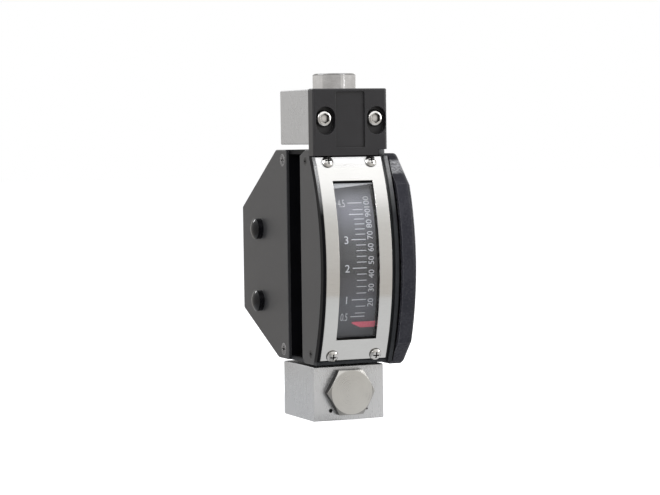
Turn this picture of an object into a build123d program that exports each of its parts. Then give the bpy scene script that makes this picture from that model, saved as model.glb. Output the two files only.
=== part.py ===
from build123d import *
import os
from math import asin, cos, radians, sin, sqrt, tan

# Rotameter with a metal metering tube between two square end blocks. A black die-cast case wraps the
# tube from the right. A magnet in the float turns a lever in the case, which carries the red pointer
# past a curved dial. Sizes are in millimetres and degrees.
# +X is to the right, the dial faces -Y and +Z is up. The origin is in the middle of the inlet block's
# underside.

# End blocks and their ports
block_side = 38.0
block_height = 27.0
block_spacing = 109.4
block_edge = 0.4
port_above_middle = 0.5
outlet_port_below_middle = 0.5
port_bore = 11.8
port_depth = 14.0
passage_bore = 6.0
riser_bore = 9.0
gauge_hole = 2.0
gauge_hole_small = 1.0
gauge_hole_spread = 19.5
gauge_hole_rise = 5.0

# Blanking plugs and their ring seals
plug_thread = 14.0
plug_length = 8.5
top_plug_length = 6.5
plug_hole_end = 0.8
front_plug_flats = 22.2
front_plug_face = 21.8
front_plug_head = 4.2
top_plug_round = 21.5
top_plug_face = 19.3
top_plug_flats = 19.5
top_plug_head = 8.1
top_plug_turn = 31.0
top_plug_across = 2.6
seal_section = 1.6
seal_play = 0.02
thread_play = 0.02

# Metering tube, float and float stops
tube_outer = 12.0
tube_bore_low = 7.6
tube_bore_high = 9.0
tube_entry = 6.0
tube_play = 0.05
tube_hole_play = 0.2
float_diameter = 7.3
float_nose = 2.4
float_nose_height = 3.0
float_low = 10.0
float_high = 8.0
float_top_round = 4.4
float_cap_plug = 1.5
float_travel = 40.0
float_magnet_diameter = 5.0
float_magnet_length = 8.0
seat_outer = 7.2
seat_bore = 4.6
seat_gap = 0.1
stop_rod = 3.0
stop_pad = 6.0
stop_pad_height = 2.0
stop_gap = 0.4
stop_disc = 1.5
stop_disc_hole = 2.4
stop_disc_hole_reach = 2.9
stop_disc_holes = 4

# Case casting
case_left = 17.7
case_right = 21.2
case_gap_low = 1.2
case_gap_top = 2.6
case_wall = 2.2
case_end_wall = 10.5
case_rear_wall = 15.0
step_below_block = 6.1
step_behind_block = 0.3
slope_start = 25.0
slope_drop = 30.0
slope_rise = 22.3
front_apex = 34.35
front_radius = 118.2
front_centre_below_middle = 2.25
front_wall = 2.4
slot_front = 6.6
slot_rear = 11.5
slot_floor = 7.0
slot_wall = 2.0
rim_width = 2.0
rim_height = 0.3
plate_rim_depth = 3.0
plate_rim_gap = 0.05
cut_margin = 1.0
shelf_lip = 3.0
shelf_side = 1.0
shelf_sheet = 3.0

# Bezel, window and dial
bezel_width = 35.2
bezel_sheet = 1.0
bezel_rise = 2.3
bezel_top_gap = 0.3
bezel_window_left = 10.5
bezel_window_right = 10.9
bezel_window_low = 12.4
bezel_window_top_gap = 11.8
bezel_screw_spread = 23.1
bezel_screw_inset = 2.25
glass_width = 32.0
glass_sheet = 1.6
glass_gasket = 0.8
glass_low = 7.4
glass_top_gap = 6.9
opening_width = 29.0
opening_margin = 2.0
dial_left = 13.4
dial_right = 11.3
dial_sheet = 0.8
dial_margin = 2.0
dial_post = 4.0
dial_post_x = 11.7
dial_screw_rise = 31.0
dial_screw_thread = 1.4
dial_screw_head = 2.2
dial_screw_head_height = 0.7
dial_screw_length = 3.6
dial_screw_lift = 0.55

# Side plates, covers and plugs
plate_sheet = 1.6
plate_corner = 2.8
plate_small_round = 1.4
plate_slope_round = 3.5
plate_edge = 0.25
plate_top_cut = 7.0
front_screw_high_in = 6.8
front_screw_high_drop = 5.6
front_screw_low_in = 10.6
front_screw_low_rise = 5.2
rear_screw_high_in = 5.0
rear_screw_high_drop = 5.2
rear_screw_low_in = 6.6
rear_screw_low_rise = 4.8
plate_screw_thread = 3.0
front_plate_screw_head = 4.8
rear_plate_screw_head = 6.0
hole_plug_diameter = 10.8
hole_plug_dome = 4.6
hole_plug_rim = 2.8
hole_plug_stem = 8.0
hole_plug_stem_end = 2.0
hole_plug_taper = 0.6
hole_plug_barb = 0.3
hole_plug_barb_gap = 0.1
hole_plug_from_rear = 24.2
hole_plug_above_low_corner = 5.2
hole_plug_below_high_corner = 10.8
cover_gasket = 1.0
cover_depth = 8.3
cover_wall = 2.2
cover_edge = 3.0
cover_overhang = 2.4
cover_overhang_low = 1.5
cover_drop = 2.3
cover_arc_rise = 9.5
cover_arc_drop = 17.3
cover_top_start = 4.2
cover_low_start = 1.0
cover_corner_run = 1.6
cover_corner_height = 1.2
cover_gasket_inset = 0.8
cover_gasket_edge = 0.4
cover_boss_wall = 0.6
cover_screw_head = 5.6
cover_screw_high_front = 12.0
cover_screw_low_front = 15.0
head_cover_left = 19.6
head_cover_right = 20.2
head_cover_depth = 6.0
head_cover_height = 32.8
head_cover_drop = 5.6
head_panel_across = 0.2
head_panel_width = 15.5
head_panel_height = 27.4
head_panel_depth = 0.9
head_panel_corner = 0.8
head_panel_above_middle = 1.2
head_edge_left = 1.0
head_edge_right = 1.6
head_edge_top = 0.8
head_screw_across = 0.7
head_screw_spread = 27.2
head_screw_rise = 12.6
head_screw_thread = 4.0
head_screw_head = 8.6
head_screw_head_height = 2.4
head_screw_grip = 7.6
head_screw_hole = 9.5
head_slot_width = 10.3
head_slot_height = 13.8
head_slot_depth = 3.2
head_slot_drop = 1.1
head_notch = 5.0
head_notch_height = 2.8

# Screws
bezel_screw_thread = 3.0
bezel_screw_head = 5.7
bezel_screw_length = 6.0
screw_head_height = 1.9
small_screw_length = 6.0
clamp_screw_head = 4.95

# Lever, pointer and bearings
pointer_behind_front = 3.2
pointer_reach = 89.15
pointer_sheet = 0.5
pointer_tip = 1.4
pointer_tip_top = 0.25
pointer_tip_slant = 4.8
pointer_tip_down = 0.6
pointer_height = 2.9
pointer_drop = 1.15
pointer_to_dial = 0.95
rest_angle = 18.4
lever_magnet_diameter = 7.0
lever_magnet_edge = 0.6
lever_x = 14.2
lever_sheet = 1.0
lever_tab = 1.0
lever_tab_length = 7.0
lever_tab_play = 0.1
lever_foot = 3.5
lever_root_half = 3.8
lever_hub_round = 9.6
lever_tab_x = 12.2
lever_magnet_x = 9.8
shaft_diameter = 3.0
shaft_play = 0.03
bush_outer = 5.0
bush_flange = 6.6
bush_flange_sheet = 0.5
hub_diameter = 6.8
hub_spigot = 4.8
hub_left = 13.2
hub_right = 16.2
hub_end_play = 0.1
bracket_sheet = 1.2
bracket_drop = 13.4
bracket_half = 5.8
bracket_screw_thread = 2.5
bracket_screw_head = 4.0
bracket_screw_head_height = 1.4
bracket_screw_inset = 1.0
balance_reach = 9.5
balance_diameter = 5.6
balance_arm = 4.5
clip_sheet = 0.4
clip_outer = 5.2
clip_gap = 0.15
clip_groove = 0.3
clip_mouth = 2.1

# Clamps that hold the case to the tube
clamp_height = 6.0
clamp_left = 8.5
clamp_end_gap = 0.3
clamp_side_play = 0.2

# Heights and centres that follow from the sizes above
half_block = block_side / 2
port_rise = block_height / 2 + port_above_middle
outlet_z = block_height + block_spacing
head_top = outlet_z + block_height
outlet_port_z = outlet_z + block_height / 2 - outlet_port_below_middle
case_bottom = block_height + case_gap_low
case_top = outlet_z - case_gap_top
step_z = outlet_z - step_below_block
step_y = -(half_block - step_behind_block)
front_centre_z = (case_bottom + step_z) / 2 - front_centre_below_middle
front_centre_y = front_radius - front_apex
case_radius = front_radius - bezel_sheet
glass_inner = case_radius - glass_sheet
gasket_inner = glass_inner - glass_gasket
wall_inner = gasket_inner - front_wall
pivot_y = pointer_behind_front - front_apex + pointer_reach
pivot_z = front_centre_z
case_rear = pivot_y + case_rear_wall
magnet_reach = pivot_y
dial_radius = pointer_reach - pointer_sheet - pointer_to_dial
magnet_z = pivot_z - magnet_reach * sin(radians(rest_angle))
shelf_top = pivot_z - bracket_drop - bracket_sheet


def front_y(radius, height):
    """Y of a front surface of this radius at this height."""
    return front_centre_y - sqrt(radius**2 - (height - front_centre_z) ** 2)


def on_front(x, height, radius):
    """Plane that touches the curved front at x and height, its normal pointing out of the front."""
    rise = height - front_centre_z
    depth = sqrt(radius**2 - rise**2)
    return Plane(origin=(x, front_centre_y - depth, height), x_dir=(1, 0, 0), z_dir=(0, -depth, rise))


def side_outline(radius, low, high, back_points):
    """Outline in Y and Z: the curved front from low to high, then straight runs through back_points."""
    with BuildSketch() as outline:
        with BuildLine():
            start = (front_y(radius, low), low)
            end = (front_y(radius, high), high)
            ThreePointArc(start, (front_centre_y - radius, front_centre_z), end)
            Polyline(end, *back_points, start)
        make_face()
    return outline.sketch


def curved_strip(inner, outer, low, high):
    """Section in Y and Z of a sheet bent to the curved front, between two radii and two heights."""
    with BuildSketch() as strip:
        with BuildLine():
            ThreePointArc(
                (front_y(outer, low), low),
                (front_centre_y - outer, front_centre_z),
                (front_y(outer, high), high),
            )
            ThreePointArc(
                (front_y(inner, low), low),
                (front_centre_y - inner, front_centre_z),
                (front_y(inner, high), high),
            )
            Line((front_y(outer, low), low), (front_y(inner, low), low))
            Line((front_y(outer, high), high), (front_y(inner, high), high))
        make_face()
    return strip.sketch


def hole_plane(x, y, z, direction):
    """Plane on a surface, for a hole or a screw, its normal pointing out of the surface."""
    return Plane(origin=(x, y, z), z_dir=direction)


def pivot_point(radius, height):
    """Point in Y and Z on an arc around the lever's pivot, in front of it."""
    return (pivot_y - sqrt(radius**2 - (height - pivot_z) ** 2), height)


def dome_middle(radius, base, top):
    """Middle point of the arc that rises from radius at base to the axis at top, level at the axis."""
    sphere = (radius**2 + (top - base) ** 2) / (2 * (top - base))
    half = asin(radius / sphere) / 2
    return (sphere * sin(half), top - sphere + sphere * cos(half))


def pan_head_screw(thread, length, head, head_height):
    """Screw standing on its shank: the head's seat is at the origin and the domed head is above it."""
    rim = head_height * 0.45
    cross_reach = head * 0.58
    cross_width = head * 0.13
    with BuildPart() as screw:
        with BuildSketch(Plane.XZ):
            with BuildLine():
                Polyline((0, head_height), (0, -length), (thread / 2, -length))
                Polyline((thread / 2, -length), (thread / 2, 0), (head / 2, 0))
                Line((head / 2, 0), (head / 2, rim))
                ThreePointArc((head / 2, rim), dome_middle(head / 2, rim, head_height), (0, head_height))
            make_face()
        revolve(axis=Axis.Z)
        with BuildSketch(Plane.XY.offset(head_height)):
            Rectangle(cross_reach, cross_width)
            Rectangle(cross_width, cross_reach)
        extrude(amount=-head_height * 0.55, mode=Mode.SUBTRACT)
    return screw.part


def countersunk_screw(thread, length, head):
    """Screw with its flat head flush with the origin plane, its shank below, and a crossed recess."""
    sink = (head - thread) / 2
    cross_reach = head * 0.56
    cross_width = head * 0.12
    with BuildPart() as screw:
        with BuildSketch(Plane.XZ):
            with BuildLine():
                Polyline(
                    (0, 0),
                    (head / 2, 0),
                    (thread / 2, -sink),
                    (thread / 2, -length),
                    (0, -length),
                    close=True,
                )
            make_face()
        revolve(axis=Axis.Z)
        with BuildSketch():
            Rectangle(cross_reach, cross_width)
            Rectangle(cross_width, cross_reach)
        extrude(amount=-sink * 0.8, mode=Mode.SUBTRACT)
    return screw.part


def socket_screw(thread, length, head, head_height):
    """Button head screw with a six-sided socket, its seat at the origin and its head above."""
    rim = head_height * 0.3
    crown = head * 0.3
    socket = head * 0.26
    with BuildPart() as screw:
        with BuildSketch(Plane.XZ):
            with BuildLine():
                Polyline((0, head_height), (0, -length), (thread / 2, -length))
                Polyline((thread / 2, -length), (thread / 2, 0), (head / 2, 0))
                Line((head / 2, 0), (head / 2, rim))
                ThreePointArc((head / 2, rim), (head * 0.42, head_height * 0.8), (crown, head_height))
                Line((crown, head_height), (0, head_height))
            make_face()
        revolve(axis=Axis.Z)
        with BuildSketch(Plane.XY.offset(head_height)):
            RegularPolygon(socket, 6, major_radius=False)
        extrude(amount=-head_height * 0.75, mode=Mode.SUBTRACT)
    return screw.part


def ring_seal(inner):
    """Ring of round section that lies on the origin plane around a shank of this diameter."""
    with BuildPart() as ring:
        with BuildSketch(Plane.XZ):
            with Locations((inner / 2 + seal_play + seal_section / 2, seal_section / 2)):
                Circle(seal_section / 2)
        revolve(axis=Axis.Z)
    return ring.part


def crowned_head(flats, round_size, face_size, height):
    """Six-sided plug head on the origin plane, turned down to round_size and coned to face_size on top."""
    slope = (round_size - face_size) / 2 * tan(radians(30))
    with BuildPart() as head:
        with BuildSketch():
            RegularPolygon(flats / 2, 6, major_radius=False)
        extrude(amount=height)
        with BuildSketch(Plane.XZ):
            Polygon(
                (0, 0),
                (round_size / 2, 0),
                (round_size / 2, height - slope),
                (face_size / 2, height),
                (0, height),
                align=None,
            )
        revolve(axis=Axis.Z, mode=Mode.INTERSECT)
    return head.part


os.makedirs("parts", exist_ok=True)

seal_seat = seal_section + 2 * seal_play
head_screw_xs = (head_screw_across - head_screw_spread / 2, head_screw_across + head_screw_spread / 2)
plug_mouth = plug_thread + 2 * (seal_section + 2 * seal_play)
socket_groove = tube_outer + 2 * (seal_section + 2 * seal_play)
socket_bore = tube_outer + 2 * tube_play
head_screw_z = outlet_z + head_screw_rise

# Inlet block: a square bar of stainless steel, drilled from the rear, the front and the top
with BuildPart() as inlet_block:
    with BuildSketch():
        Rectangle(block_side, block_side)
    extrude(amount=block_height)
    chamfer(inlet_block.edges(), block_edge)
    with Locations(hole_plane(0, half_block, port_rise, (0, 1, 0))):
        Hole(port_bore / 2, depth=port_depth)
    with Locations(hole_plane(0, -half_block, port_rise, (0, -1, 0))):
        CounterBoreHole(
            plug_thread / 2 + thread_play,
            plug_mouth / 2,
            seal_seat,
            depth=plug_length + plug_hole_end,
        )
        Hole(passage_bore / 2, depth=block_side - port_depth)
    with Locations((0, 0, block_height)):
        Hole(socket_bore / 2, depth=tube_entry)
        Hole(passage_bore / 2, depth=block_height - port_rise)
    with BuildSketch(Plane.XY.offset(block_height - tube_entry / 2 - seal_seat / 2)):
        Circle(socket_groove / 2)
    extrude(amount=seal_seat, mode=Mode.SUBTRACT)
    with Locations(hole_plane(-gauge_hole_spread / 2, -half_block, gauge_hole_rise, (0, -1, 0))):
        Hole(gauge_hole / 2, depth=gauge_hole)
    with Locations(hole_plane(gauge_hole_spread / 2, -half_block, gauge_hole_rise, (0, -1, 0))):
        Hole(gauge_hole_small / 2, depth=gauge_hole)
inlet_block.part.label = "inlet_block"
export_step(inlet_block.part, "parts/inlet_block.step")

# Outlet block: the same bar above the tube, with its plug on top and two tapped holes in front
with BuildPart() as outlet_block:
    with BuildSketch(Plane.XY.offset(outlet_z)):
        Rectangle(block_side, block_side)
    extrude(amount=block_height)
    chamfer(outlet_block.edges(), block_edge)
    with Locations(hole_plane(0, half_block, outlet_port_z, (0, 1, 0))):
        Hole(port_bore / 2, depth=port_depth)
        Hole(passage_bore / 2, depth=half_block)
    with Locations((top_plug_across, 0, head_top)):
        CounterBoreHole(
            plug_thread / 2 + thread_play,
            plug_mouth / 2,
            seal_seat,
            depth=top_plug_length + plug_hole_end,
        )
    with Locations(hole_plane(0, 0, outlet_z, (0, 0, -1))):
        Hole(socket_bore / 2, depth=tube_entry)
        Hole(riser_bore / 2, depth=block_height - top_plug_length - plug_hole_end)
    with BuildSketch(Plane.XY.offset(outlet_z + tube_entry / 2 - seal_seat / 2)):
        Circle(socket_groove / 2)
    extrude(amount=seal_seat, mode=Mode.SUBTRACT)
    with Locations(*[hole_plane(x, -half_block, head_screw_z, (0, -1, 0)) for x in head_screw_xs]):
        Hole(head_screw_thread / 2 + thread_play, depth=head_screw_hole)
outlet_block.part.label = "outlet_block"
export_step(outlet_block.part, "parts/outlet_block.step")

# Inlet plug: closes the front of the inlet block, six flats with one pair level
front_face = Plane(origin=(0, -half_block, port_rise), x_dir=(1, 0, 0), z_dir=(0, -1, 0))
front_plug_corner = front_plug_flats / cos(radians(30))
with BuildPart() as inlet_plug:
    with Locations(front_face):
        add(crowned_head(front_plug_flats, front_plug_corner, front_plug_face, front_plug_head))
    with BuildSketch(front_face):
        Circle(plug_thread / 2)
    extrude(amount=-plug_length)
inlet_plug.part.label = "inlet_plug"
export_step(inlet_plug.part, "parts/inlet_plug.step")

# Outlet plug: stands on top, a little to the right of the tube, its corners turned down to a round
top_face = Plane(origin=(top_plug_across, 0, head_top))
with BuildPart() as outlet_plug:
    with Locations(top_face.rotated((0, 0, -top_plug_turn))):
        add(crowned_head(top_plug_flats, top_plug_round, top_plug_face, top_plug_head))
    with BuildSketch(top_face):
        Circle(plug_thread / 2)
    extrude(amount=-top_plug_length)
outlet_plug.part.label = "outlet_plug"
export_step(outlet_plug.part, "parts/outlet_plug.step")

# Rubber ring under each plug head, in the counterbore of its block
with BuildPart() as plug_seals:
    with Locations(front_face.offset(-seal_seat + seal_play), top_face.offset(-seal_seat + seal_play)):
        add(ring_seal(plug_thread))
plug_seals.part.label = "plug_seals"
export_step(plug_seals.part, "parts/plug_seals.step")

# Rubber ring around each end of the tube, in a groove of the socket
low_groove = block_height - tube_entry / 2 - seal_section / 2
high_groove = outlet_z + tube_entry / 2 - seal_section / 2
with BuildPart() as tube_seals:
    with Locations(Plane.XY.offset(low_groove), Plane.XY.offset(high_groove)):
        add(ring_seal(tube_outer))
tube_seals.part.label = "tube_seals"
export_step(tube_seals.part, "parts/tube_seals.step")

# Metering tube: stainless steel, its bore widening upwards, let into both blocks
tube_low = block_height - tube_entry + tube_play
tube_high = outlet_z + tube_entry - stop_disc - tube_play
with BuildPart() as metering_tube:
    with BuildSketch(Plane.XZ):
        Polygon(
            (tube_bore_low / 2, tube_low),
            (tube_outer / 2 - block_edge, tube_low),
            (tube_outer / 2, tube_low + block_edge),
            (tube_outer / 2, tube_high - block_edge),
            (tube_outer / 2 - block_edge, tube_high),
            (tube_bore_high / 2, tube_high),
            align=None,
        )
    revolve(axis=Axis.Z)
metering_tube.part.label = "metering_tube"
export_step(metering_tube.part, "parts/metering_tube.step")

# Float: turned body with a coned nose, a magnet in its bore and a cap pressed in behind it
float_bottom = magnet_z - float_low
float_top = magnet_z + float_high
magnet_half = float_magnet_length / 2
cap_seat = magnet_z + magnet_half + float_cap_plug
float_radius = float_diameter / 2
with BuildPart() as float_body:
    with BuildSketch(Plane.XZ):
        with BuildLine():
            Polyline(
                (0, float_bottom),
                (float_nose / 2, float_bottom),
                (float_radius, float_bottom + float_nose_height),
                (float_radius, cap_seat),
                (float_magnet_diameter / 2, cap_seat),
                (float_magnet_diameter / 2, magnet_z - magnet_half),
                (0, magnet_z - magnet_half),
                close=True,
            )
        make_face()
    revolve(axis=Axis.Z)
float_body.part.label = "float_body"
export_step(float_body.part, "parts/float_body.step")

with BuildPart() as float_magnet:
    with BuildSketch(Plane.XY.offset(magnet_z - magnet_half)):
        Circle(float_magnet_diameter / 2 - thread_play)
    extrude(amount=float_magnet_length)
float_magnet.part.label = "float_magnet"
export_step(float_magnet.part, "parts/float_magnet.step")

with BuildPart() as float_cap:
    with BuildSketch(Plane.XZ):
        Polygon(
            (0, magnet_z + magnet_half),
            (float_magnet_diameter / 2 - thread_play, magnet_z + magnet_half),
            (float_magnet_diameter / 2 - thread_play, cap_seat),
            (float_radius, cap_seat),
            (float_top_round / 2, float_top),
            (0, float_top),
            align=None,
        )
    revolve(axis=Axis.Z)
float_cap.part.label = "float_cap"
export_step(float_cap.part, "parts/float_cap.step")

# Float seat: a thin standpipe on the floor of the inlet socket, its mouth closed by the float's nose
nose_slope = float_nose_height / (float_radius - float_nose / 2)
seat_floor = block_height - tube_entry
seat_top = float_bottom + (seat_bore / 2 - float_nose / 2) * nose_slope - seat_gap
with BuildPart() as float_seat:
    with BuildSketch(Plane.XY.offset(seat_floor)):
        Circle(seat_outer / 2)
        Circle(seat_bore / 2, mode=Mode.SUBTRACT)
    extrude(amount=seat_top - seat_floor)
float_seat.part.label = "float_seat"
export_step(float_seat.part, "parts/float_seat.step")

# Float stop: a pierced disc held between the tube's end and the outlet block, with a rod below it and a
# pad on the rod that the float meets at full flow
pad_bottom = float_top + float_travel + stop_gap
disc_bottom = outlet_z + tube_entry - stop_disc
with BuildPart() as float_stop:
    with BuildSketch(Plane.XY.offset(pad_bottom)):
        Circle(stop_pad / 2)
    extrude(amount=stop_pad_height)
    with BuildSketch(Plane.XY.offset(pad_bottom)):
        Circle(stop_rod / 2)
    extrude(amount=disc_bottom - pad_bottom)
    with BuildSketch(Plane.XY.offset(disc_bottom)):
        Circle(tube_outer / 2)
        with PolarLocations(stop_disc_hole_reach, stop_disc_holes):
            Circle(stop_disc_hole / 2, mode=Mode.SUBTRACT)
    extrude(amount=stop_disc)
float_stop.part.label = "float_stop"
export_step(float_stop.part, "parts/float_stop.step")

# Case casting
slope_high_z = case_top - slope_drop
slope_low_z = case_bottom + slope_rise
rear_points = [
    (slope_start, case_top),
    (case_rear, slope_high_z),
    (case_rear, slope_low_z),
    (slope_start, case_bottom),
]
case_points = [(step_y, step_z), (step_y, case_top)] + rear_points
cavity_low = case_bottom + case_end_wall
cavity_high = case_top - case_end_wall
glass_bottom = case_bottom + glass_low
glass_top = step_z - glass_top_gap
opening_low = glass_bottom + opening_margin
opening_high = glass_top - opening_margin
bezel_low = case_bottom + bezel_rise
bezel_high = step_z - bezel_top_gap
bezel_screw_low = bezel_low + bezel_screw_inset
bezel_screw_high = bezel_high - bezel_screw_inset
case_length = case_left + case_right
dial_screw_low = pivot_z - dial_screw_rise
dial_screw_high = pivot_z + dial_screw_rise
dial_back = dial_radius - dial_sheet
dial_low = opening_low + dial_margin
dial_high = opening_high - dial_margin
shelf_y = pivot_y - bracket_half - shelf_lip
bracket_left = hub_left - hub_end_play - bush_flange_sheet - bracket_sheet
bracket_right = hub_right + hub_end_play + bush_flange_sheet + bracket_sheet
bracket_middle = (bracket_left + bracket_right) / 2
bracket_screw_reach = bracket_half - bracket_screw_inset
bracket_screw_ys = (pivot_y - bracket_screw_reach, pivot_y + bracket_screw_reach)
plate_screw_front_high = (-slot_front - front_screw_high_in, case_top - front_screw_high_drop)
plate_screw_front_low = (-slot_front - front_screw_low_in, case_bottom + front_screw_low_rise)
plate_screw_rear_high = (slot_rear + rear_screw_high_in, case_top - rear_screw_high_drop)
plate_screw_rear_low = (slot_rear + rear_screw_low_in, case_bottom + rear_screw_low_rise)
cover_top = case_top - cover_drop
cover_bottom = case_bottom - cover_overhang_low
cover_screw_inset = cover_edge + cover_screw_head / 2
cover_screw_places = [
    (-cover_screw_high_front, cover_top - cover_screw_inset),
    (slope_start, cover_top - cover_screw_inset),
    (-cover_screw_low_front, cover_bottom + cover_screw_inset),
    (slope_start, cover_bottom + cover_screw_inset),
]
cover_seat = case_right + cover_gasket
clamp_screw_y = (tube_outer / 2 + slot_rear) / 2
clamp_low = case_bottom + case_wall + clamp_end_gap
clamp_high = case_top - case_wall - clamp_end_gap - clamp_height
plate_left = case_left + plate_sheet
with BuildPart() as main_case:
    with BuildSketch(Plane.YZ.offset(-case_left)):
        add(side_outline(case_radius, case_bottom, step_z, case_points))
    extrude(amount=case_length)
    with BuildSketch(Plane.YZ.offset(case_right - rim_width)):
        add(side_outline(front_radius + rim_height, case_bottom, step_z, case_points))
    extrude(amount=rim_width)
    with BuildSketch(Plane.YZ.offset(-plate_left)):
        add(curved_strip(front_radius - plate_rim_depth, front_radius + rim_height, case_bottom, step_z))
    extrude(amount=plate_sheet)
    with BuildSketch(Plane.YZ.offset(-case_left)):
        add(side_outline(case_radius, case_bottom, step_z, case_points))
        offset(amount=-case_wall, mode=Mode.REPLACE)
        with Locations((0, cavity_low)):
            Rectangle(
                4 * case_rear,
                cavity_high - cavity_low,
                align=(Align.CENTER, Align.MIN),
                mode=Mode.INTERSECT,
            )
        with Locations((front_centre_y, front_centre_z)):
            Circle(wall_inner, mode=Mode.INTERSECT)
    extrude(amount=case_length, mode=Mode.SUBTRACT)
    # Walls of the tube slot, then the slot, open to the left, and the tube's holes
    with BuildSketch(Plane.XY.offset(case_bottom)):
        with Locations((-case_left, (slot_rear - slot_front) / 2)):
            Rectangle(
                case_left + slot_floor + slot_wall,
                slot_front + slot_rear + 2 * slot_wall,
                align=(Align.MIN, Align.CENTER),
            )
    extrude(amount=case_top - case_bottom)
    with BuildSketch(Plane.XY.offset(case_bottom + case_wall)):
        with Locations((-case_left, (slot_rear - slot_front) / 2)):
            Rectangle(case_left + slot_floor, slot_front + slot_rear, align=(Align.MIN, Align.CENTER))
    extrude(amount=case_top - case_bottom - 2 * case_wall, mode=Mode.SUBTRACT)
    with Locations((0, 0, case_top)):
        Hole(tube_outer / 2 + tube_hole_play, depth=case_top - case_bottom)
    # Window opening and the seat of the glass in the front wall
    with BuildSketch(Plane.YZ.offset(-glass_width / 2)):
        add(curved_strip(gasket_inner, case_radius + cut_margin, glass_bottom, glass_top))
    extrude(amount=glass_width, mode=Mode.SUBTRACT)
    with BuildSketch(Plane.YZ.offset(-opening_width / 2)):
        add(curved_strip(wall_inner - cut_margin, case_radius + cut_margin, opening_low, opening_high))
    extrude(amount=opening_width, mode=Mode.SUBTRACT)
    # Posts for the dial, cut to the curve of its back
    with BuildSketch(Plane.XZ.offset(slot_front + slot_wall / 2)):
        with Locations((-dial_post_x, dial_screw_low), (-dial_post_x, dial_screw_high)):
            Circle(dial_post / 2)
    extrude(amount=-pivot_point(dial_radius, dial_screw_high)[0] - slot_front)
    with BuildSketch(Plane.YZ.offset(-dial_post_x - dial_post / 2)):
        with BuildLine():
            ThreePointArc(
                pivot_point(dial_back, dial_low),
                pivot_point(dial_back, pivot_z),
                pivot_point(dial_back, dial_high),
            )
            Polyline(
                pivot_point(dial_back, dial_high),
                (-front_apex, dial_high),
                (-front_apex, dial_low),
                pivot_point(dial_back, dial_low),
            )
        make_face()
    extrude(amount=dial_post, mode=Mode.SUBTRACT)
    with Locations(
        *[
            hole_plane(-dial_post_x, pivot_point(dial_radius, z)[0], z, (0, -1, 0))
            for z in (dial_screw_low, dial_screw_high)
        ]
    ):
        Hole(dial_screw_thread / 2 + thread_play, depth=small_screw_length)
    # Shelf for the bearing bracket, cast on the rear wall
    with BuildSketch(Plane.XY.offset(shelf_top - shelf_sheet)):
        with Locations((bracket_left - shelf_side, shelf_y)):
            Rectangle(
                bracket_right - bracket_left + 2 * shelf_side,
                case_rear - case_wall / 2 - shelf_y,
                align=(Align.MIN, Align.MIN),
            )
    extrude(amount=shelf_sheet)
    with Locations(*[(bracket_middle, y, shelf_top) for y in bracket_screw_ys]):
        Hole(bracket_screw_thread / 2 + thread_play, depth=shelf_sheet)
    # Tapped holes for the bezel, plates, cover and clamps
    with Locations(
        *[
            on_front(side * bezel_screw_spread / 2, height, case_radius)
            for side in (-1, 1)
            for height in (bezel_screw_low, bezel_screw_high)
        ]
    ):
        Hole(bezel_screw_thread / 2 + thread_play, depth=bezel_screw_length)
    with Locations(
        *[
            hole_plane(-case_left, y, z, (-1, 0, 0))
            for y, z in (
                plate_screw_front_high,
                plate_screw_front_low,
                plate_screw_rear_high,
                plate_screw_rear_low,
            )
        ]
    ):
        Hole(plate_screw_thread / 2 + thread_play, depth=small_screw_length + 1)
    with Locations(*[hole_plane(case_right, y, z, (1, 0, 0)) for y, z in cover_screw_places]):
        Hole(plate_screw_thread / 2 + thread_play, depth=small_screw_length + 1)
    with Locations(
        *[
            hole_plane(slot_floor, clamp_screw_y, z + clamp_height / 2, (-1, 0, 0))
            for z in (clamp_low, clamp_high)
        ]
    ):
        Hole(plate_screw_thread / 2 + thread_play, depth=small_screw_length + 1)
main_case.part.label = "main_case"
export_step(main_case.part, "parts/main_case.step")

# Clamps: a block around the tube at each end of the slot, screwed to the solid end of the case
with BuildPart() as tube_clamps:
    for clamp_z in (clamp_low, clamp_high):
        with BuildSketch(Plane.XY.offset(clamp_z)):
            with Locations((-clamp_left, (slot_rear - slot_front) / 2)):
                Rectangle(
                    clamp_left + slot_floor,
                    slot_front + slot_rear - clamp_side_play,
                    align=(Align.MIN, Align.CENTER),
                )
            Circle(tube_outer / 2 + thread_play, mode=Mode.SUBTRACT)
        extrude(amount=clamp_height)
    with Locations(
        *[
            hole_plane(-clamp_left, clamp_screw_y, z + clamp_height / 2, (-1, 0, 0))
            for z in (clamp_low, clamp_high)
        ]
    ):
        Hole(plate_screw_thread / 2 + thread_play, depth=clamp_left + slot_floor)
tube_clamps.part.label = "tube_clamps"
export_step(tube_clamps.part, "parts/tube_clamps.step")

clamp_screw = pan_head_screw(
    plate_screw_thread,
    clamp_left + slot_floor + small_screw_length,
    clamp_screw_head,
    screw_head_height,
)
with BuildPart() as clamp_screws:
    with Locations(
        *[
            hole_plane(-clamp_left, clamp_screw_y, z + clamp_height / 2, (-1, 0, 0))
            for z in (clamp_low, clamp_high)
        ]
    ):
        add(clamp_screw)
clamp_screws.part.label = "clamp_screws"
export_step(clamp_screws.part, "parts/clamp_screws.step")

# Window: a rubber frame on its seat in the case, the clear pane on it, and the steel bezel over both
with BuildPart() as window_gasket:
    with BuildSketch(Plane.YZ.offset(-glass_width / 2 + tube_play)):
        add(
            curved_strip(
                gasket_inner,
                glass_inner,
                glass_bottom + tube_play,
                glass_top - tube_play,
            )
        )
    extrude(amount=glass_width - 2 * tube_play)
    with BuildSketch(Plane.YZ.offset(-opening_width / 2)):
        add(curved_strip(gasket_inner - cut_margin, glass_inner + cut_margin, opening_low, opening_high))
    extrude(amount=opening_width, mode=Mode.SUBTRACT)
window_gasket.part.label = "window_gasket"
export_step(window_gasket.part, "parts/window_gasket.step")

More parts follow.
